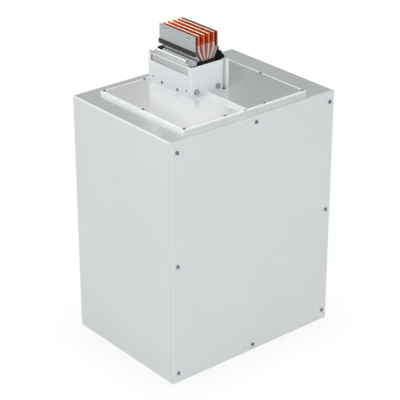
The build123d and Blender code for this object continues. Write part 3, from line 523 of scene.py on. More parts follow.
@dataclass(frozen=True)
class Moulding(Finish):
    """Moulded plastic, laminate or rubber: a fine grain and a faint bloom."""

    grain: float = 800.0
    depth: float = 20 * MICRON
    bloom: float = 1.25
    bloom_scale: float = 30.0
    index: float = 1.5

    def dress(self, surface: Surface) -> None:
        """Wire up bloom, gloss and grain."""
        pale = darker(self.colour, self.bloom)
        tone = surface.effect("tone_drift", Scale=self.bloom_scale, Base=self.colour, Far=pale)
        surface.feed("Base Color", tone["Color"])
        surface.roughen(tone["Mask"], self.rough)
        surface.feed("IOR", self.index)
        surface.grain(self.grain, self.depth)


@dataclass(frozen=True)
class ClearFilm(Finish):
    """Thin glossy film drawn tight round a bar, milky where it is folded at the edges."""

    fold: Colour = WHITE
    cover: Pair = (0.86, 0.97)
    tone_scale: float = 16.0
    tone_drop: float = 0.75
    wrinkle_scale: float = 45.0
    wrinkle: float = 600 * MICRON

    def dress(self, surface: Surface) -> None:
        """Wire up the milky folds, the wrinkles and the gloss."""
        fold = surface.effect("facing", Start=0.3, End=0.8)["Along"]
        tone_far = darker(self.colour, self.tone_drop)
        tone = surface.effect("tone_drift", Scale=self.tone_scale, Base=self.colour, Far=tone_far)
        surface.feed("Base Color", surface.blend(fold, tone["Color"], self.fold))
        surface.feed("Alpha", surface.spread(fold, *self.cover))
        surface.roughen(tone["Mask"], self.rough)
        surface.grain(self.wrinkle_scale, self.wrinkle)


EVEN: Place = (1.0, 1.0, 1.0)
LENGTHWAYS: Place = (1.0, 0.02, 1.0)
# Box round the two flange plates: the border of their level faces takes the painted edge highlight.
PLATE_HIGHLIGHT_EDGES: tuple[Place, Place] = ((-0.312, -0.2575, -1.0), (0.29, 0.243, 2.0))
# Painted highlight: near-white laid on rounded bends and plate borders, and on the side plates'
# slanted faces.
PAINTED_EDGE_HIGHLIGHT = srgb(250, 252, 252)
# Painted shade laid on the ends of the joint bands and tongues.
SHADED_END = srgb(100, 104, 105)

PAINT = PowderCoat("cabinet_powder_coat", srgb(210, 215, 216), (0.4, 0.5))
SEAM_PAINT = PowderCoat("seam_cap_coat", srgb(241, 244, 244), (0.34, 0.42), peel=2 * MICRON)
COLLAR_PAINT = PowderCoat("collar_powder_coat", srgb(226, 229, 231), (0.36, 0.44), peel=10 * MICRON)
# The roof's bends take the painted edge highlight.
ROOF_PAINT = PowderCoat(
    "roof_powder_coat", srgb(226, 231, 231), (0.24, 0.32), peel=2 * MICRON, flake=0.2, gloss=1.0,
    gloss_index=1.7, bend=PAINTED_EDGE_HIGHLIGHT,
)
# The flange plates also take the painted edge highlight along their level border; their faces along
# Y take a front tone that is painted shade against a painted-lit top.
PLATE_RIGHT_PAINT = replace(
    ROOF_PAINT, name="right_plate_coat", colour=srgb(223, 228, 228), rough=(0.22, 0.3), flake=0.25,
    front=srgb(224, 229, 230), rim=PLATE_HIGHLIGHT_EDGES,
)
# Painted light: the left plate's coat is made far paler than the right plate's to paint the light
# that falls on it.
PLATE_LEFT_PAINTED_LIGHT = replace(
    PLATE_RIGHT_PAINT, name="left_plate_painted_light_coat", colour=srgb(252, 254, 255), rough=(0.26, 0.32),
    flake=0.16, gloss_index=2.8,
)
GALVANISED = SpangledZinc("galvanised_sheet", srgb(176, 182, 184), (0.36, 0.5))
ZINC_PLATE = DrawnMetal(
    "bright_zinc_plate", srgb(196, 210, 220), (0.14, 0.26), EVEN, 260.0, metallic=0.7,
    stain=srgb(120, 142, 158),
)
DARK_ZINC = replace(
    ZINC_PLATE, name="dark_zinc_plate", colour=srgb(138, 154, 166), metallic=1.0,
    stain=srgb(96, 112, 124),
)
BRIGHT_ZINC = replace(
    DARK_ZINC, name="clear_zinc_plate", colour=srgb(186, 190, 192), rough=(0.22, 0.38),
    stain=srgb(150, 156, 158),
)
STUD_ZINC = DrawnMetal(
    "polished_stud", srgb(218, 222, 224), (0.1, 0.18), EVEN, 200.0, depth=MICRON, metallic=0.85,
    stain=srgb(204, 209, 210),
)
# Housing: the pale base colour and paler leaning faces are painted light on a housing that sits in
# shade; the darker upward faces and ends are painted shade.
RAIL_SHEET = SawnBar(
    "housing_profile", srgb(232, 235, 236), (0.2, 0.26), LENGTHWAYS, depth=0.5 * MICRON,
    metallic=0.2, line=0.97, cut=srgb(218, 221, 222), end=srgb(120, 122, 124),
    lean=srgb(242, 244, 245),
)
# Painted highlight on the side plates' slanted part, their leaning faces, which lies in shade under
# the seal.
SIDE_SHEET = SawnBar(
    "side_plate_sheet", srgb(184, 189, 189), (0.34, 0.46), (1.0, 0.03, 1.0), depth=2 * MICRON,
    metallic=0.45, line=0.94, cut=srgb(196, 201, 201), end=srgb(176, 181, 181), lean=PAINTED_EDGE_HIGHLIGHT,
)
# Joint bands: white upward and leaning faces are painted highlights on their top edges, the dark
# ends are painted shade, and the ramp to a paler tone toward the front is painted light.
MILL_SHEET = SawnBar(
    "mill_finish_sheet", srgb(184, 188, 188), (0.3, 0.42), LENGTHWAYS, depth=MICRON, metallic=0.35,
    line=0.94, end=SHADED_END, lean=WHITE, painted_light=srgb(206, 210, 210),
)
# The tongue keeps the band's painted highlights and shade, with its own painted light toward the
# front.
TONGUE_SHEET = replace(
    MILL_SHEET, name="rolled_tongue", colour=srgb(186, 190, 191), rough=(0.24, 0.34), metallic=0.12,
    line=0.95, painted_light=srgb(204, 208, 209),
)
# Painted highlight: the cream, nearly non-metal tone on the bars' upward faces stands for light
# glancing off their tops.
COPPER = SawnBar(
    "rolled_copper", srgb(238, 98, 46), (0.16, 0.24), depth=MICRON, metallic=0.5,
    stain=srgb(222, 76, 30), line=0.94, cut=srgb(255, 244, 204), end=srgb(208, 120, 82),
)
GLAND_SHEET = DrawnMetal("brushed_gland_sheet", srgb(200, 203, 204), (0.3, 0.45), (0.02, 1.0, 1.0))
# Painted reflection: red-brown sheet colour that stands for the copper bars mirrored in the side
# plates' inner faces.
COPPER_REFLECTION_SHEET = Moulding("painted_copper_reflection", srgb(128, 50, 36), (0.2, 0.3), grain=260.0, depth=10 * MICRON)
BLACK_MOULDING = Moulding(
    "moulded_black", srgb(16, 18, 18), (0.14, 0.22), depth=4 * MICRON, index=1.12
)
BLACK_RUBBER = Moulding("black_rubber", srgb(38, 40, 41), (0.5, 0.62), grain=1500.0)
BOARD = Moulding("polyester_board", srgb(168, 66, 48), (0.42, 0.55), grain=300.0)
FOAM = Moulding("closed_cell_foam", srgb(58, 59, 61), (0.8, 0.92), grain=1100.0, depth=250 * MICRON)
FILM = ClearFilm("polyester_film", srgb(240, 178, 166), (0.14, 0.24), fold=srgb(206, 192, 187))

NODE_FINISHES: dict[Finish, tuple[str, ...]] = {
    PAINT: ("side_panel_left", "side_panel_right", "back_panel", "front_cover"),
    ROOF_PAINT: ("roof_panel",),
    PLATE_LEFT_PAINTED_LIGHT: ("flange_plate_left",),
    SEAM_PAINT: ("seam_cap",),
    PLATE_RIGHT_PAINT: ("flange_plate_right",),
    COLLAR_PAINT: ("collar_end_front", "collar_end_rear", "collar_wall_left", "collar_wall_right"),
    GALVANISED: (
        "floor_panel", "base_rail_left", "base_rail_right", "front_frame", "cover_stiffener",
        "support_rail", "cable_rail", "trunk_carrier_left", "trunk_carrier_right", "earth_brackets",
    ),
    MILL_SHEET: ("joint_band_left", "joint_band_right"),
    TONGUE_SHEET: ("joint_tongue_left", "joint_tongue_right"),
    SIDE_SHEET: ("trunk_plate_left", "trunk_plate_right"),
    RAIL_SHEET: ("housing_left", "housing_right"),
    BRIGHT_ZINC: (
        "cover_rivet_nuts", "weld_nuts", "collar_nuts", "carrier_bolts", "earth_bolts",
        "comb_tie_rods",
    ),
    ZINC_PLATE: ("cover_screws", "flange_screws", "gland_screws", "wall_screws", "collar_bolts"),
    COPPER: ("busbar_1", "busbar_2", "busbar_3", "busbar_4", "earth_bar"),
    GLAND_SHEET: ("gland_plate",),
    BLACK_MOULDING: ("end_block_front", "end_block_rear"),
    BLACK_RUBBER: ("joint_seal_left", "joint_seal_right"),
    BOARD: ("bar_comb_front", "bar_comb_rear"),
    FOAM: ("cover_gasket", "flange_gasket", "gland_gasket"),
    FILM: ("bar_film_1", "bar_film_2", "bar_film_3", "bar_film_4"),
}


def dress_nodes() -> None:
    """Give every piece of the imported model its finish."""
    for finish, names in NODE_FINISHES.items():
        material = finish.build()
        for name in names:
            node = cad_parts[name]
            node.data.materials.clear()
            node.data.materials.append(material)
        log.info("%s on %s", finish.name, ", ".join(names))


def link(name: str, data: ID) -> Object:
    """Make an object and add it to the scene.

    Args:
        name: Name of the object.
        data: Its mesh, lamp or camera.

    Returns:
        The object.
    """
    item = bpy.data.objects.new(name, data)
    bpy.context.scene.collection.objects.link(item)
    return item


def store(name: str, shape: BMesh) -> Mesh:
    """Store a finished shape as mesh data and free it.

    Args:
        name: Name of the mesh data.
        shape: The shape.

    Returns:
        The mesh data.
    """
    data = bpy.data.meshes.new(name)
    shape.to_mesh(data)
    shape.free()
    return data


class Workpiece:
    """One new piece: a mesh that is shaped in place and then fixed to the model."""

    def __init__(self, name: str) -> None:
        """Start an empty mesh."""
        self.name = name
        self.mesh = bmesh.new()

    def grow(self, template: Mesh, place: Matrix) -> None:
        """Add a copy of a template mesh.

        Args:
            template: Mesh to copy.
            place: Matrix that moves the copy from its own axes to the model's.
        """
        before = len(self.mesh.verts)
        self.mesh.from_mesh(template)
        self.mesh.verts.ensure_lookup_table()
        bmesh.ops.transform(self.mesh, matrix=place, verts=self.mesh.verts[before:])

    def fit(
        self,
        finish: Finish,
        body: Body = Body.CABINET,
        replaces: Iterable[str] = (),
        smooth_to: float = 35.0,
    ) -> Object:
        """Turn the mesh into a piece of the model.

        Args:
            finish: Finish of the whole piece.
            body: Body that it moves with.
            replaces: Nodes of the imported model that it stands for.
            smooth_to: Angle in degrees above which an edge stays sharp.

        Returns:
            The new object.
        """
        bmesh.ops.recalc_face_normals(self.mesh, faces=self.mesh.faces)
        data = store(self.name, self.mesh)
        data.shade_smooth()
        data.set_sharp_from_angle(angle=math.radians(smooth_to))
        piece = link(self.name, data)
        data.materials.append(finish.build())
        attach(piece, body.value)
        if replaces:
            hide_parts(*replaces)
        log.info("%s: %d faces", self.name, len(data.polygons))
        return piece


def turned(profile: Profile, steps: int) -> BMesh:
    """Turn a profile round the Z axis into a closed shape.

    Args:
        profile: Radius and height of each point, from the axis to the axis.
        steps: Number of facets round the axis.

    Returns:
        The closed mesh.
    """
    mesh = bmesh.new()
    points = [mesh.verts.new((radius, 0.0, height)) for radius, height in profile]
    lines = [mesh.edges.new(pair) for pair in zip(points, points[1:])]
    bmesh.ops.spin(
        mesh, geom=points + lines, cent=(0.0, 0.0, 0.0), axis=UP, angle=math.tau, steps=steps,
        use_merge=True,
    )
    bmesh.ops.remove_doubles(mesh, verts=mesh.verts, dist=HAIR / 10)
    bmesh.ops.recalc_face_normals(mesh, faces=mesh.faces)
    return mesh


def reshape_ring(mesh: BMesh, radius: float, rule: Callable[[float], float]) -> None:
    """Move the points that lie at one radius to a radius that depends on their angle.

    Args:
        mesh: Mesh to change.
        radius: Radius of the ring or rings to move.
        rule: Gives the new radius for an angle.
    """
    for vert in mesh.verts:
        reach = math.hypot(vert.co.x, vert.co.y)
        if abs(reach - radius) < HAIR:
            share = rule(math.atan2(vert.co.y, vert.co.x)) / reach
            vert.co.x *= share
            vert.co.y *= share


def hexagon(half_flats: float, angle: float) -> float:
    """Give the radius at an angle of a hexagon with that half width across its flats."""
    return half_flats / math.cos((angle % (math.pi / 3)) - math.pi / 6)


def cross(reach: float, half_width: float, angle: float) -> float:
    """Give the radius at an angle of a cross with that reach and half width of an arm."""
    off_arm = abs((angle + math.pi / 4) % (math.pi / 2) - math.pi / 4)
    least_sine = 1e-4
    return min(reach, half_width / max(math.sin(off_arm), least_sine))


# Shares of the height or radius that they are used with on a fastener.
RECESS_FLOOR, RECESS_LIP, RECESS_DIP = 0.92, 1.12, 0.02
SKIRT, SKIRT_FOOT, CHAMFER, WASHER_EDGE, TIP = 0.08, 0.97, 0.1, 0.2, 0.25
SOCKET_FLATS, CROSS_ARM = 0.94, 0.24
CROWN_STEPS = 6


@dataclass
class Fastener:
    """One kind of screw or bolt, with its head above the surface and its shank below."""

    head_r: float
    head_h: float
    shank_r: float
    length: float
    drive: Drive
    drive_r: float
    drive_depth: float
    dome: float = 0.6
    washer_r: float = 0.0
    washer_h: float = 0.0
    pitch: float = 0.0
    steps: int = 36

    def head_profile(self) -> list[Pair]:
        """Draw the head's outline.

        Returns:
            Points from the recess out to the underside.
        """
        top = self.washer_h + self.head_h
        rim = self.washer_h + self.head_h * (1 - self.dome)
        crown_start = self.drive_r * RECESS_LIP
        floor = top - self.drive_depth
        points = [(0.0, floor), (self.drive_r * RECESS_FLOOR, floor)]
        points.append((self.drive_r, top - self.head_h * RECESS_DIP))
        for step in range(CROWN_STEPS + 1):
            turn = math.pi / 2 * step / CROWN_STEPS
            radius = crown_start + (self.head_r - crown_start) * math.sin(turn)
            points.append((radius, rim + (top - rim) * math.cos(turn)))
        skirt = self.washer_h + self.head_h * SKIRT
        return [*points, (self.head_r, skirt), (self.head_r * SKIRT_FOOT, self.washer_h)]

    def hexagon_profile(self) -> list[Pair]:
        """Draw the outline of a hexagon head, which is shaped after it is turned."""
        top, edge = self.washer_h + self.head_h, self.head_h * CHAMFER
        start = [(0.0, top), (self.head_r * (1 - CHAMFER), top)]
        return [*start, (self.head_r, top - edge), (self.head_r, self.washer_h)]

    def washer_profile(self) -> list[Pair]:
        """Draw the outline of the washer under the head."""
        edge, outer = self.washer_h * WASHER_EDGE, self.washer_r
        top = [(outer - edge, self.washer_h), (outer, self.washer_h - edge)]
        return [*top, (outer, edge), (outer - edge, 0.0)]

    def shank_profile(self) -> list[Pair]:
        """Draw the outline of the shank with its thread.

        Returns:
            Points from the surface down to the tip.
        """
        points = [(self.shank_r, 0.0)]
        if self.pitch:
            half = self.pitch / 2
            for turn in range(int((self.length - 2 * self.pitch) / self.pitch)):
                down = -self.pitch * (turn + 1)
                points += [(self.shank_r, down), (self.shank_r - half, down - half)]
        tip = -self.length
        points.append((self.shank_r, tip + self.shank_r * TIP))
        return [*points, (self.shank_r * (1 - TIP), tip), (0.0, tip)]

    def template(self) -> Mesh:
        """Shape one fastener on its own axis.

        Returns:
            Its mesh, with the surface at zero height.
        """
        head = self.hexagon_profile() if self.drive is Drive.HEXAGON else self.head_profile()
        washer = self.washer_profile() if self.washer_r else []
        mesh = turned([*head, *washer, *self.shank_profile()], self.steps)
        if self.drive is Drive.HEXAGON:
            reshape_ring(mesh, self.head_r, partial(hexagon, self.head_r))
        for radius in (self.drive_r * RECESS_FLOOR, self.drive_r):
            if self.drive is Drive.SOCKET:
                reshape_ring(mesh, radius, partial(hexagon, radius * SOCKET_FLATS))
            elif self.drive is Drive.CROSS:
                reshape_ring(mesh, radius, partial(cross, radius, self.drive_r * CROSS_ARM))
        return store("fastener_template", mesh)


@dataclass
class FastenerRow:
    """Fasteners of one kind at their places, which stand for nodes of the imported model."""

    name: str
    kind: Fastener
    places: list[Spot]
    replaces: tuple[str, ...] = ()
    body: Body = Body.CABINET
    finish: Finish = ZINC_PLATE
    seed: int = 1

    def build(self) -> Object:
        """Set every fastener at its place, each turned by chance.

        Returns:
            The piece with all of them.
        """
        chance = random.Random(self.seed)
        piece = Workpiece(self.name)
        template = self.kind.template()
        for place, out in self.places:
            aim = Vector(out).to_track_quat("Z", "Y").to_matrix().to_4x4()
            spin = Matrix.Rotation(chance.uniform(0.0, math.tau), 4, "Z")
            piece.grow(template, Matrix.Translation(Vector(place)) @ aim @ spin)
        bpy.data.meshes.remove(template)
        return piece.fit(self.finish, self.body, self.replaces, smooth_to=32.0)


@dataclass
class Sizes:
    """Places of the cabinet, the raised flange and the trunk that the new pieces use."""

    half_width: float = 400 * MM
    half_depth: float = 297.5 * MM
    height: float = 1000 * MM
    plate_top: float = 1013 * MM
    trunk_x: float = -8 * MM
    trunk_y: float = 85 * MM
    collar_x: float = 92.5 * MM
    collar_y: float = 130 * MM


@dataclass
class Fasteners:
    """All screws and bolts that can be seen, outside and when the cover is off."""

    sizes: Sizes = field(default_factory=Sizes)
    stud_h: float = 3.4 * MM
    stud_drop: float = 22 * MM
    stud_along: Pair = (65 * MM, -78 * MM)
    cover_inset: float = 24 * MM
    cover_end: float = 42 * MM
    flange_columns: int = 4
    ledge_below: float = 8 * MM
    ledge_across: float = 72.5 * MM
    ledge_along: float = 100 * MM
    bolt_along: Pair = (-68.6 * MM, 36.5 * MM)
    bolt_rise: float = 23 * MM
    wall_screw: Pair = (46.5 * MM, 15 * MM)
    corner_screw: Pair = (100.5 * MM, 26 * MM)

    def build(self) -> None:
        """Build the rows of fasteners one after another."""
        rows = (self.cover_row(), self.flange_row(), self.gland_row(), self.stud_row())
        for row in (*rows, *self.collar_rows(), self.ledge_row()):
            row.build()

    def stud_row(self) -> FastenerRow:
        """Set out the domed studs of the trunk's side plates.

        Returns:
            Their row.
        """
        kind = Fastener(
            head_r=7.4 * MM, head_h=3.9 * MM, shank_r=3.0 * MM, length=0.6 * MM, drive=Drive.NONE,
            drive_r=0.9 * MM, drive_depth=0.02 * MM, dome=0.95,
        )
        places: list[Spot] = []
        for way, name in ((-1, "trunk_plate_left"), (1, "trunk_plate_right")):
            low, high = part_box(name)
            plate = (low.x if way < 0 else high.x) - way * self.stud_h
            for along in self.stud_along:
                y = self.sizes.trunk_y + way * along
                places.append(((plate, y, high.z - self.stud_drop), (way, 0.0, 0.0)))
        return FastenerRow("side_studs", kind, places, finish=STUD_ZINC, seed=19)

    def cover_row(self) -> FastenerRow:
        """Set out the eight domed screws of the front cover.

        Returns:
            Their row.
        """
        kind = Fastener(
            head_r=7.8 * MM, head_h=4.6 * MM, shank_r=3.9 * MM, length=19.5 * MM,
            drive=Drive.SOCKET, drive_r=2.6 * MM, drive_depth=2.2 * MM, dome=0.8, pitch=1.25 * MM,
        )
        side, height = self.sizes.half_width - self.cover_inset, self.sizes.height
        heights = (self.cover_end, height / 2, height - self.cover_end)
        spots = [(way * side, rise) for way in (-1, 1) for rise in heights]
        spots += [(0.0, self.cover_inset), (0.0, height - self.cover_inset)]
        places = [((x, -self.sizes.half_depth, z), FRONT) for x, z in spots]
        node = ("cover_screws",)
        return FastenerRow("cover_dome_screws", kind, places, node, Body.COVER, DARK_ZINC, seed=3)

    def flange_row(self) -> FastenerRow:
        """Set out the ten low screws of the raised flange.

        Returns:
            Their row.
        """
        kind = Fastener(
            head_r=6 * MM, head_h=3.2 * MM, shank_r=2.9 * MM, length=20 * MM, drive=Drive.CROSS,
            drive_r=3.0 * MM, drive_depth=1.6 * MM, dome=0.55,
        )
        low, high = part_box("flange_screws")
        left, right = low.x + kind.head_r, high.x - kind.head_r
        near, far = low.y + kind.head_r, high.y - kind.head_r
        spans = self.flange_columns - 1
        columns = [left + (right - left) * step / spans for step in range(self.flange_columns)]
        spots = [(x, y) for x in columns for y in (near, far)]
        spots += [(left, (near + far) / 2), (right, (near + far) / 2)]
        places = [((x, y, self.sizes.plate_top), UP) for x, y in spots]
        return FastenerRow("flange_pan_screws", kind, places, ("flange_screws",), seed=5)

    def gland_row(self) -> FastenerRow:
        """Set out the eight screws of the gland plate.

        Returns:
            Their row.
        """
        kind = Fastener(
            head_r=6 * MM, head_h=3.6 * MM, shank_r=2.9 * MM, length=12.5 * MM, drive=Drive.CROSS,
            drive_r=3.0 * MM, drive_depth=1.7 * MM, dome=0.5, pitch=1.0 * MM,
        )
        low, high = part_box("gland_screws")
        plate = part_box("gland_plate")[1].z
        xs = (low.x + kind.head_r, (low.x + high.x) / 2, high.x - kind.head_r)
        ys = (low.y + kind.head_r, (low.y + high.y) / 2, high.y - kind.head_r)
        spots = [(x, y) for i, x in enumerate(xs) for j, y in enumerate(ys) if (i, j) != (1, 1)]
        places = [((x, y, plate), UP) for x, y in spots]
        return FastenerRow("gland_pan_screws", kind, places, ("gland_screws",), Body.GLAND, seed=7)

    def ledge_row(self) -> FastenerRow:
        """Set out the four small screws at the ends of the housing ledges.

        Returns:
            Their row.
        """
        recess = (Drive.CROSS, 1.8 * MM, 1.1 * MM)
        kind = Fastener(3.6 * MM, 2.6 * MM, 1.9 * MM, 6 * MM, *recess, dome=0.7)
        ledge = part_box("housing_left")[1].z - self.ledge_below
        places: list[Spot] = []
        for side in (-1, 1):
            x = self.sizes.trunk_x + side * self.ledge_across
            for end in (-1, 1):
                places.append(((x, self.sizes.trunk_y + end * self.ledge_along, ledge), UP))
        return FastenerRow("ledge_screws", kind, places, seed=23)

    def collar_rows(self) -> list[FastenerRow]:
        """Set out the bolts of the collar's ends and the screws of its walls.

        Returns:
            A row for each kind.
        """
        sizes = self.sizes
        bolt = Fastener(
            head_r=8.5 * MM, head_h=6.5 * MM, shank_r=4.9 * MM, length=12.5 * MM,
            drive=Drive.HEXAGON, drive_r=0.0, drive_depth=0.0, washer_r=11 * MM, washer_h=2 * MM,
            steps=48,
        )
        recess = (Drive.CROSS, 3.2 * MM, 1.9 * MM)
        large = Fastener(6.5 * MM, 3.6 * MM, 3.9 * MM, 17.5 * MM, *recess, dome=0.75)
        recess = (Drive.CROSS, 2.0 * MM, 1.2 * MM)
        small = Fastener(4 * MM, 2.4 * MM, 1.9 * MM, 7 * MM, *recess, dome=0.75)
        bolts, larges, smalls = [], [], []
        for way in (-1, 1):
            end_face = sizes.trunk_y + way * sizes.collar_y
            for along in self.bolt_along:
                x = sizes.trunk_x - way * along
                bolts.append(((x, end_face, sizes.plate_top + self.bolt_rise), (0.0, way, 0.0)))
            wall = sizes.trunk_x + way * sizes.collar_x
            for end in (-1, 1):
                kinds = ((larges, self.wall_screw), (smalls, self.corner_screw))
                for spots, (along, rise) in kinds:
                    place = (wall, sizes.trunk_y + end * along, sizes.plate_top + rise)
                    spots.append((place, (way, 0.0, 0.0)))
        return [
            FastenerRow("collar_hex_bolts", bolt, bolts, ("collar_bolts",), seed=11),
            FastenerRow("collar_wall_screws", large, larges, ("wall_screws",), seed=13),
            FastenerRow("collar_corner_screws", small, smalls, seed=17),
        ]


@dataclass
class BarFilms:
    """Clear film round the four bars, drawn tight with faint wrinkles.

    The route gives the pitch between bars and the height, in millimetres, at each corner.
    """

    sizes: Sizes = field(default_factory=Sizes)
    bar_t: float = 6 * MM
    bar_w: float = 210 * MM
    stand_off: float = 0.12 * MM
    film_t: float = 0.4 * MM
    bends: tuple[float, ...] = (60 * MM, 16 * MM, 16 * MM, 16 * MM)
    bend_steps: int = 6
    wrinkle: float = 0.07 * MM
    wrinkle_pace: Place = (30.0, 38.0, 14.0)
    width_steps: int = 24
    longest_edge: float = 30 * MM
    edge_cuts: int = 5
    steps: tuple[float, ...] = (-1.5, -0.5, 0.5, 1.5)
    route_mm: tuple[Pair, ...] = (
        (24.4, 1205.0), (24.4, 1185.0), (7.5, 1130.0), (7.5, 900.0), (120.0, 730.0), (120.0, 700.0),
    )

    def build(self) -> None:
        """Wrap each bar in its film."""
        for index, place in enumerate(self.steps):
            corners = [Vector((place * pitch, height)) * MM for pitch, height in self.route_mm]
            self.wrap(index + 1, self.rounded(corners))

    def rounded(self, corners: list[Vector]) -> list[Vector]:
        """Round the inner corners of a line with the bars' bend radii.

        Args:
            corners: Corners of the line.

        Returns:
            Points along the runs and the arcs.
        """
        points = [corners[0]]
        for before, corner, after, bend_r in zip(corners, corners[1:], corners[2:], self.bends):
            back, ahead = (before - corner).normalized(), (after - corner).normalized()
            turn = math.pi - back.angle(ahead)
            cut = bend_r * math.tan(turn / 2)
            start, end = corner + back * cut, corner + ahead * cut
            for step in range(self.bend_steps + 1):
                share = step / self.bend_steps
                points.append(start.lerp(corner, share).lerp(corner.lerp(end, share), share))
        points.append(corners[-1])
        return points

    def wrap(self, number: int, line: list[Vector]) -> None:
        """Draw one film down its bar.

        Args:
            number: Number of the bar.
            line: Centre line of the bar across and down, from the film's top to its bottom.
        """
        piece = Workpiece(f"bar_wrap_{number}")
        mesh = piece.mesh
        rim = self.first_ring(mesh, line)
        for index in range(1, len(line)):
            grown = bmesh.ops.extrude_edge_only(mesh, edges=rim)["geom"]
            rim = [item for item in grown if isinstance(item, BMEdge)]
            verts = [item for item in grown if isinstance(item, BMVert)]
            old, new = line[index - 1], line[index]
            stretch = self.half(line, index) / self.half(line, index - 1)
            step = (
                Matrix.Translation((new.x, 0.0, new.y))
                @ Matrix.Diagonal((stretch, 1.0, 1.0, 1.0))
                @ Matrix.Translation((-old.x, 0.0, -old.y))
            )
            bmesh.ops.transform(mesh, matrix=step, verts=verts)
        long_edges = [edge for edge in mesh.edges if edge.calc_length() > self.longest_edge]
        bmesh.ops.subdivide_edges(mesh, edges=long_edges, cuts=self.edge_cuts, use_grid_fill=True)
        bmesh.ops.recalc_face_normals(mesh, faces=mesh.faces)
        along_x, along_y, along_z = self.wrinkle_pace
        for vert in mesh.verts:
            place = Vector((vert.co.x * along_x, vert.co.y * along_y, vert.co.z * along_z + number))
            vert.co += vert.normal * (self.wrinkle * (1 + noise.noise(place)) / 2)
        bmesh.ops.solidify(mesh, geom=list(mesh.faces), thickness=-self.film_t)
        shift = Matrix.Translation((self.sizes.trunk_x, self.sizes.trunk_y, 0.0))
        bmesh.ops.transform(mesh, matrix=shift, verts=mesh.verts)
        piece.fit(FILM, replaces=(f"bar_film_{number}",), smooth_to=50.0)

    def first_ring(self, mesh: BMesh, line: list[Vector]) -> list[BMEdge]:
        """Lay the closed outline of the film round the top of its bar.

        Args:
            mesh: Empty mesh of the film.
            line: Centre line of the bar.

        Returns:
            The outline's edges.
        """
        reach = self.bar_w / 2 + self.stand_off
        grid_half = 0.5
        rows = self.width_steps
        bmesh.ops.create_grid(mesh, x_segments=1, y_segments=rows, size=grid_half)
        for vert in mesh.verts:
            x = math.copysign(self.half(line, 0), vert.co.x)
            vert.co = Vector((line[0].x + x, vert.co.y / grid_half * reach, line[0].y))
        bmesh.ops.delete(mesh, geom=list(mesh.faces), context="FACES_ONLY")
        inner: list[BMEdge] = []
        for edge in mesh.edges:
            first, second = (vert.co.y for vert in edge.verts)
            if abs(first - second) < HAIR < reach - abs(first):
                inner.append(edge)
        bmesh.ops.delete(mesh, geom=inner, context="EDGES")
        return list(mesh.edges)

    def half(self, line: list[Vector], index: int) -> float:
        """Give half the level thickness of the wrapped bar at one point of its line."""
        before, after = line[max(index - 1, 0)], line[min(index + 1, len(line) - 1)]
        lean = math.atan2(abs(after.x - before.x), abs(after.y - before.y))
        return (self.bar_t / 2 + self.stand_off) / math.cos(lean)


@dataclass
class PaintedReflectionSheets:
    """Thin sheets on the inner faces of the trunk's side plates, coloured red-brown to paint the
    copper bars' reflection in them.
    """

    sheet_t: float = 0.4 * MM
    plate_t: float = 3 * MM
    stud_h: float = 3.4 * MM
    drop: float = 56 * MM
    margin: float = 2 * MM
    middle_share: float = 0.6
    bevel_share: float = 0.25

    def build(self) -> None:
        """Lay one painted reflection sheet against each plate."""
        for way, name in ((-1, "trunk_plate_left"), (1, "trunk_plate_right")):
            low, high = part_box(name)
            piece = Workpiece(name.replace("trunk_plate", "painted_copper_reflection"))
            mesh = piece.mesh
            bmesh.ops.create_cube(mesh, size=1.0)
            outer = low.x if way < 0 else high.x
            inward = self.stud_h + self.plate_t + self.sheet_t * self.middle_share
            top = high.z - self.margin
            middle = Vector((outer - way * inward, (low.y + high.y) / 2, top - self.drop / 2))
            size = (self.sheet_t, high.y - low.y - 2 * self.margin, self.drop, 1.0)
            place = Matrix.Translation(middle) @ Matrix.Diagonal(size)
            bmesh.ops.transform(mesh, matrix=place, verts=mesh.verts)
            spans = [edge.verts[0].co.x - edge.verts[1].co.x for edge in mesh.edges]
            bmesh.ops.bevel(
                mesh, geom=[edge for edge, span in zip(mesh.edges, spans) if abs(span) < HAIR / 10],
                offset=self.sheet_t * self.bevel_share, affect="EDGES", segments=1, profile=0.5,
                material=-1,
            )
            piece.fit(COPPER_REFLECTION_SHEET)


@dataclass(frozen=True)
class Softbox:
    """A rectangular lamp, with its width and height in metres and its power in watts."""

    name: str
    place: Place
    aim: Place
    size: Pair
    power: float

    def hang(self) -> None:
        """Hang the lamp and turn it to what it lights."""
        data = bpy.data.lights.new(self.name, "AREA")
        data.shape = "RECTANGLE"
        data.size, data.size_y = self.size
        data.energy = self.power
        face(link(self.name, data), self.place, Vector(self.aim) - Vector(self.place))


def face(item: Object, place: Place, aim: Vector) -> None:
    """Move a lamp or camera to its place and turn it.

    Args:
        item: The lamp or camera.
        place: Its place.
        aim: Way that it looks.
    """
    item.location = place
    item.rotation_mode = "QUATERNION"
    item.rotation_quaternion = aim.to_track_quat("-Z", "Y")


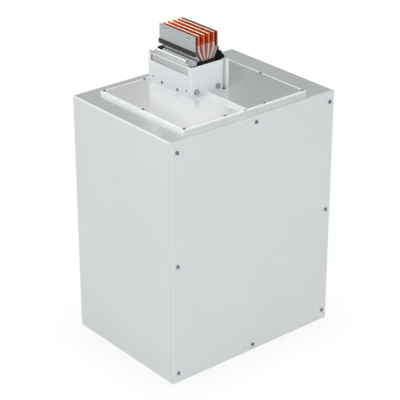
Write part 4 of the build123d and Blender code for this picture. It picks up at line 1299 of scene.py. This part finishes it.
@dataclass
class Studio:
    """Floor, lamps, room and camera."""

    camera_place: Place = (-3.47187, -4.1415, 3.16094)
    azimuth: float = 39.796
    elevation: float = 25.814
    lens: float = 137.232
    sensor: float = 36.0
    room_level: Pair = (0.82, 0.72)
    mirror_level: Pair = (1.0, 0.06)
    mirror_rise: Pair = (0.04, 0.26)
    floor_reach: float = 30.0
    floor_drop: float = 0.3 * MM
    floor_colour: Colour = (0.84, 0.84, 0.84, 1.0)
    floor_level: Pair = (0.88, 1.0)
    contact_reach: float = 0.2
    contact_samples: int = 8
    lamps: tuple[Softbox, ...] = (
        Softbox("key", (-2.9, -1.5, 3.9), (-0.1, -0.1, 1.0), (1.2, 1.2), 56.0),
        Softbox("front_fill", (-0.2, -4.2, 0.5), (0.0, 0.0, 0.45), (2.6, 1.4), 22.0),
        Softbox("left_fill", (-4.2, 0.2, 0.5), (0.0, 0.0, 0.45), (2.6, 1.4), 5.0),
        Softbox("right_fill", (4.2, 1.0, 1.4), (0.0, 0.0, 0.55), (2.4, 1.8), 26.0),
        Softbox("rear_fill", (0.6, 4.2, 1.3), (0.0, 0.0, 0.55), (2.4, 1.8), 22.0),
        Softbox("top_glance", (1.35, 1.74, 2.04), (0.0, 0.05, 1.24), (0.34, 0.2), 0.65),
    )

    def build(self) -> None:
        """Set up everything round the object."""
        self.room()
        self.floor()
        for lamp in self.lamps:
            lamp.hang()
        self.camera()

    def camera(self) -> None:
        """Place the camera where the photograph was taken from."""
        data = bpy.data.cameras.new("view")
        data.sensor_width = self.sensor
        data.lens = self.lens
        turn, down = math.radians(self.azimuth), math.radians(self.elevation)
        level = math.cos(down)
        aim = Vector((math.sin(turn) * level, math.cos(turn) * level, -math.sin(down)))
        camera = link("view", data)
        face(camera, self.camera_place, aim)
        bpy.context.scene.camera = camera

    def room(self) -> None:
        """Make a soft room that is white to look at and dimmer overhead."""
        world = bpy.data.worlds.new("room")
        bpy.context.scene.world = world
        world.use_nodes = True
        world.node_tree.nodes.clear()
        sheet = NodeSheet(world.node_tree)
        rise = sheet.axes(sheet.add("ShaderNodeTexCoord").outputs["Generated"])["Z"]
        soft = sheet.spread(rise, *self.room_level)
        mirror = sheet.spread(rise, *self.mirror_level, *self.mirror_rise)
        lit, mirrored, seen = (
            sheet.add("ShaderNodeBackground", {"Color": WHITE, "Strength": strength}).outputs[0]
            for strength in (soft, mirror, 1.0)
        )
        around = sheet.choose(sheet.rays("Is Glossy Ray"), lit, mirrored)
        shown = sheet.choose(sheet.rays("Is Camera Ray", "Is Transmission Ray"), around, seen)
        sheet.add("ShaderNodeOutputWorld", {0: shown})

    def floor(self) -> None:
        """Lay a pale floor that shows white with the object's soft contact shadow."""
        mesh = bmesh.new()
        bmesh.ops.create_grid(mesh, x_segments=2, y_segments=2, size=self.floor_reach)
        data = store("studio_floor", mesh)
        floor = link("studio_floor", data)
        floor.location.z = -self.floor_drop
        material = bpy.data.materials.new("pale_floor")
        material.use_nodes = True
        material.node_tree.nodes.clear()
        sheet = NodeSheet(material.node_tree)
        matt = sheet.add("ShaderNodeBsdfDiffuse", {"Color": self.floor_colour}).outputs[0]
        reach = {"Distance": self.contact_reach}
        contact = sheet.add("ShaderNodeAmbientOcclusion", reach, samples=self.contact_samples)
        level = sheet.spread(contact.outputs["AO"], *self.floor_level)
        glow = sheet.add("ShaderNodeEmission", {"Strength": level}).outputs[0]
        seen = sheet.rays("Is Camera Ray", "Is Transmission Ray", "Is Glossy Ray")
        sheet.add("ShaderNodeOutputMaterial", {0: sheet.choose(seen, matt, glow)})
        data.materials.append(material)


def main() -> None:
    """Build the studio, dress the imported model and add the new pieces."""
    logging.basicConfig(level=logging.INFO, format="%(message)s")
    bpy.context.scene.view_settings.view_transform = "Standard"
    build_patterns()
    build_masks()
    Studio().build()
    dress_nodes()
    Fasteners().build()
    BarFilms().build()
    PaintedReflectionSheets().build()


if __name__ == "__main__":
    main()
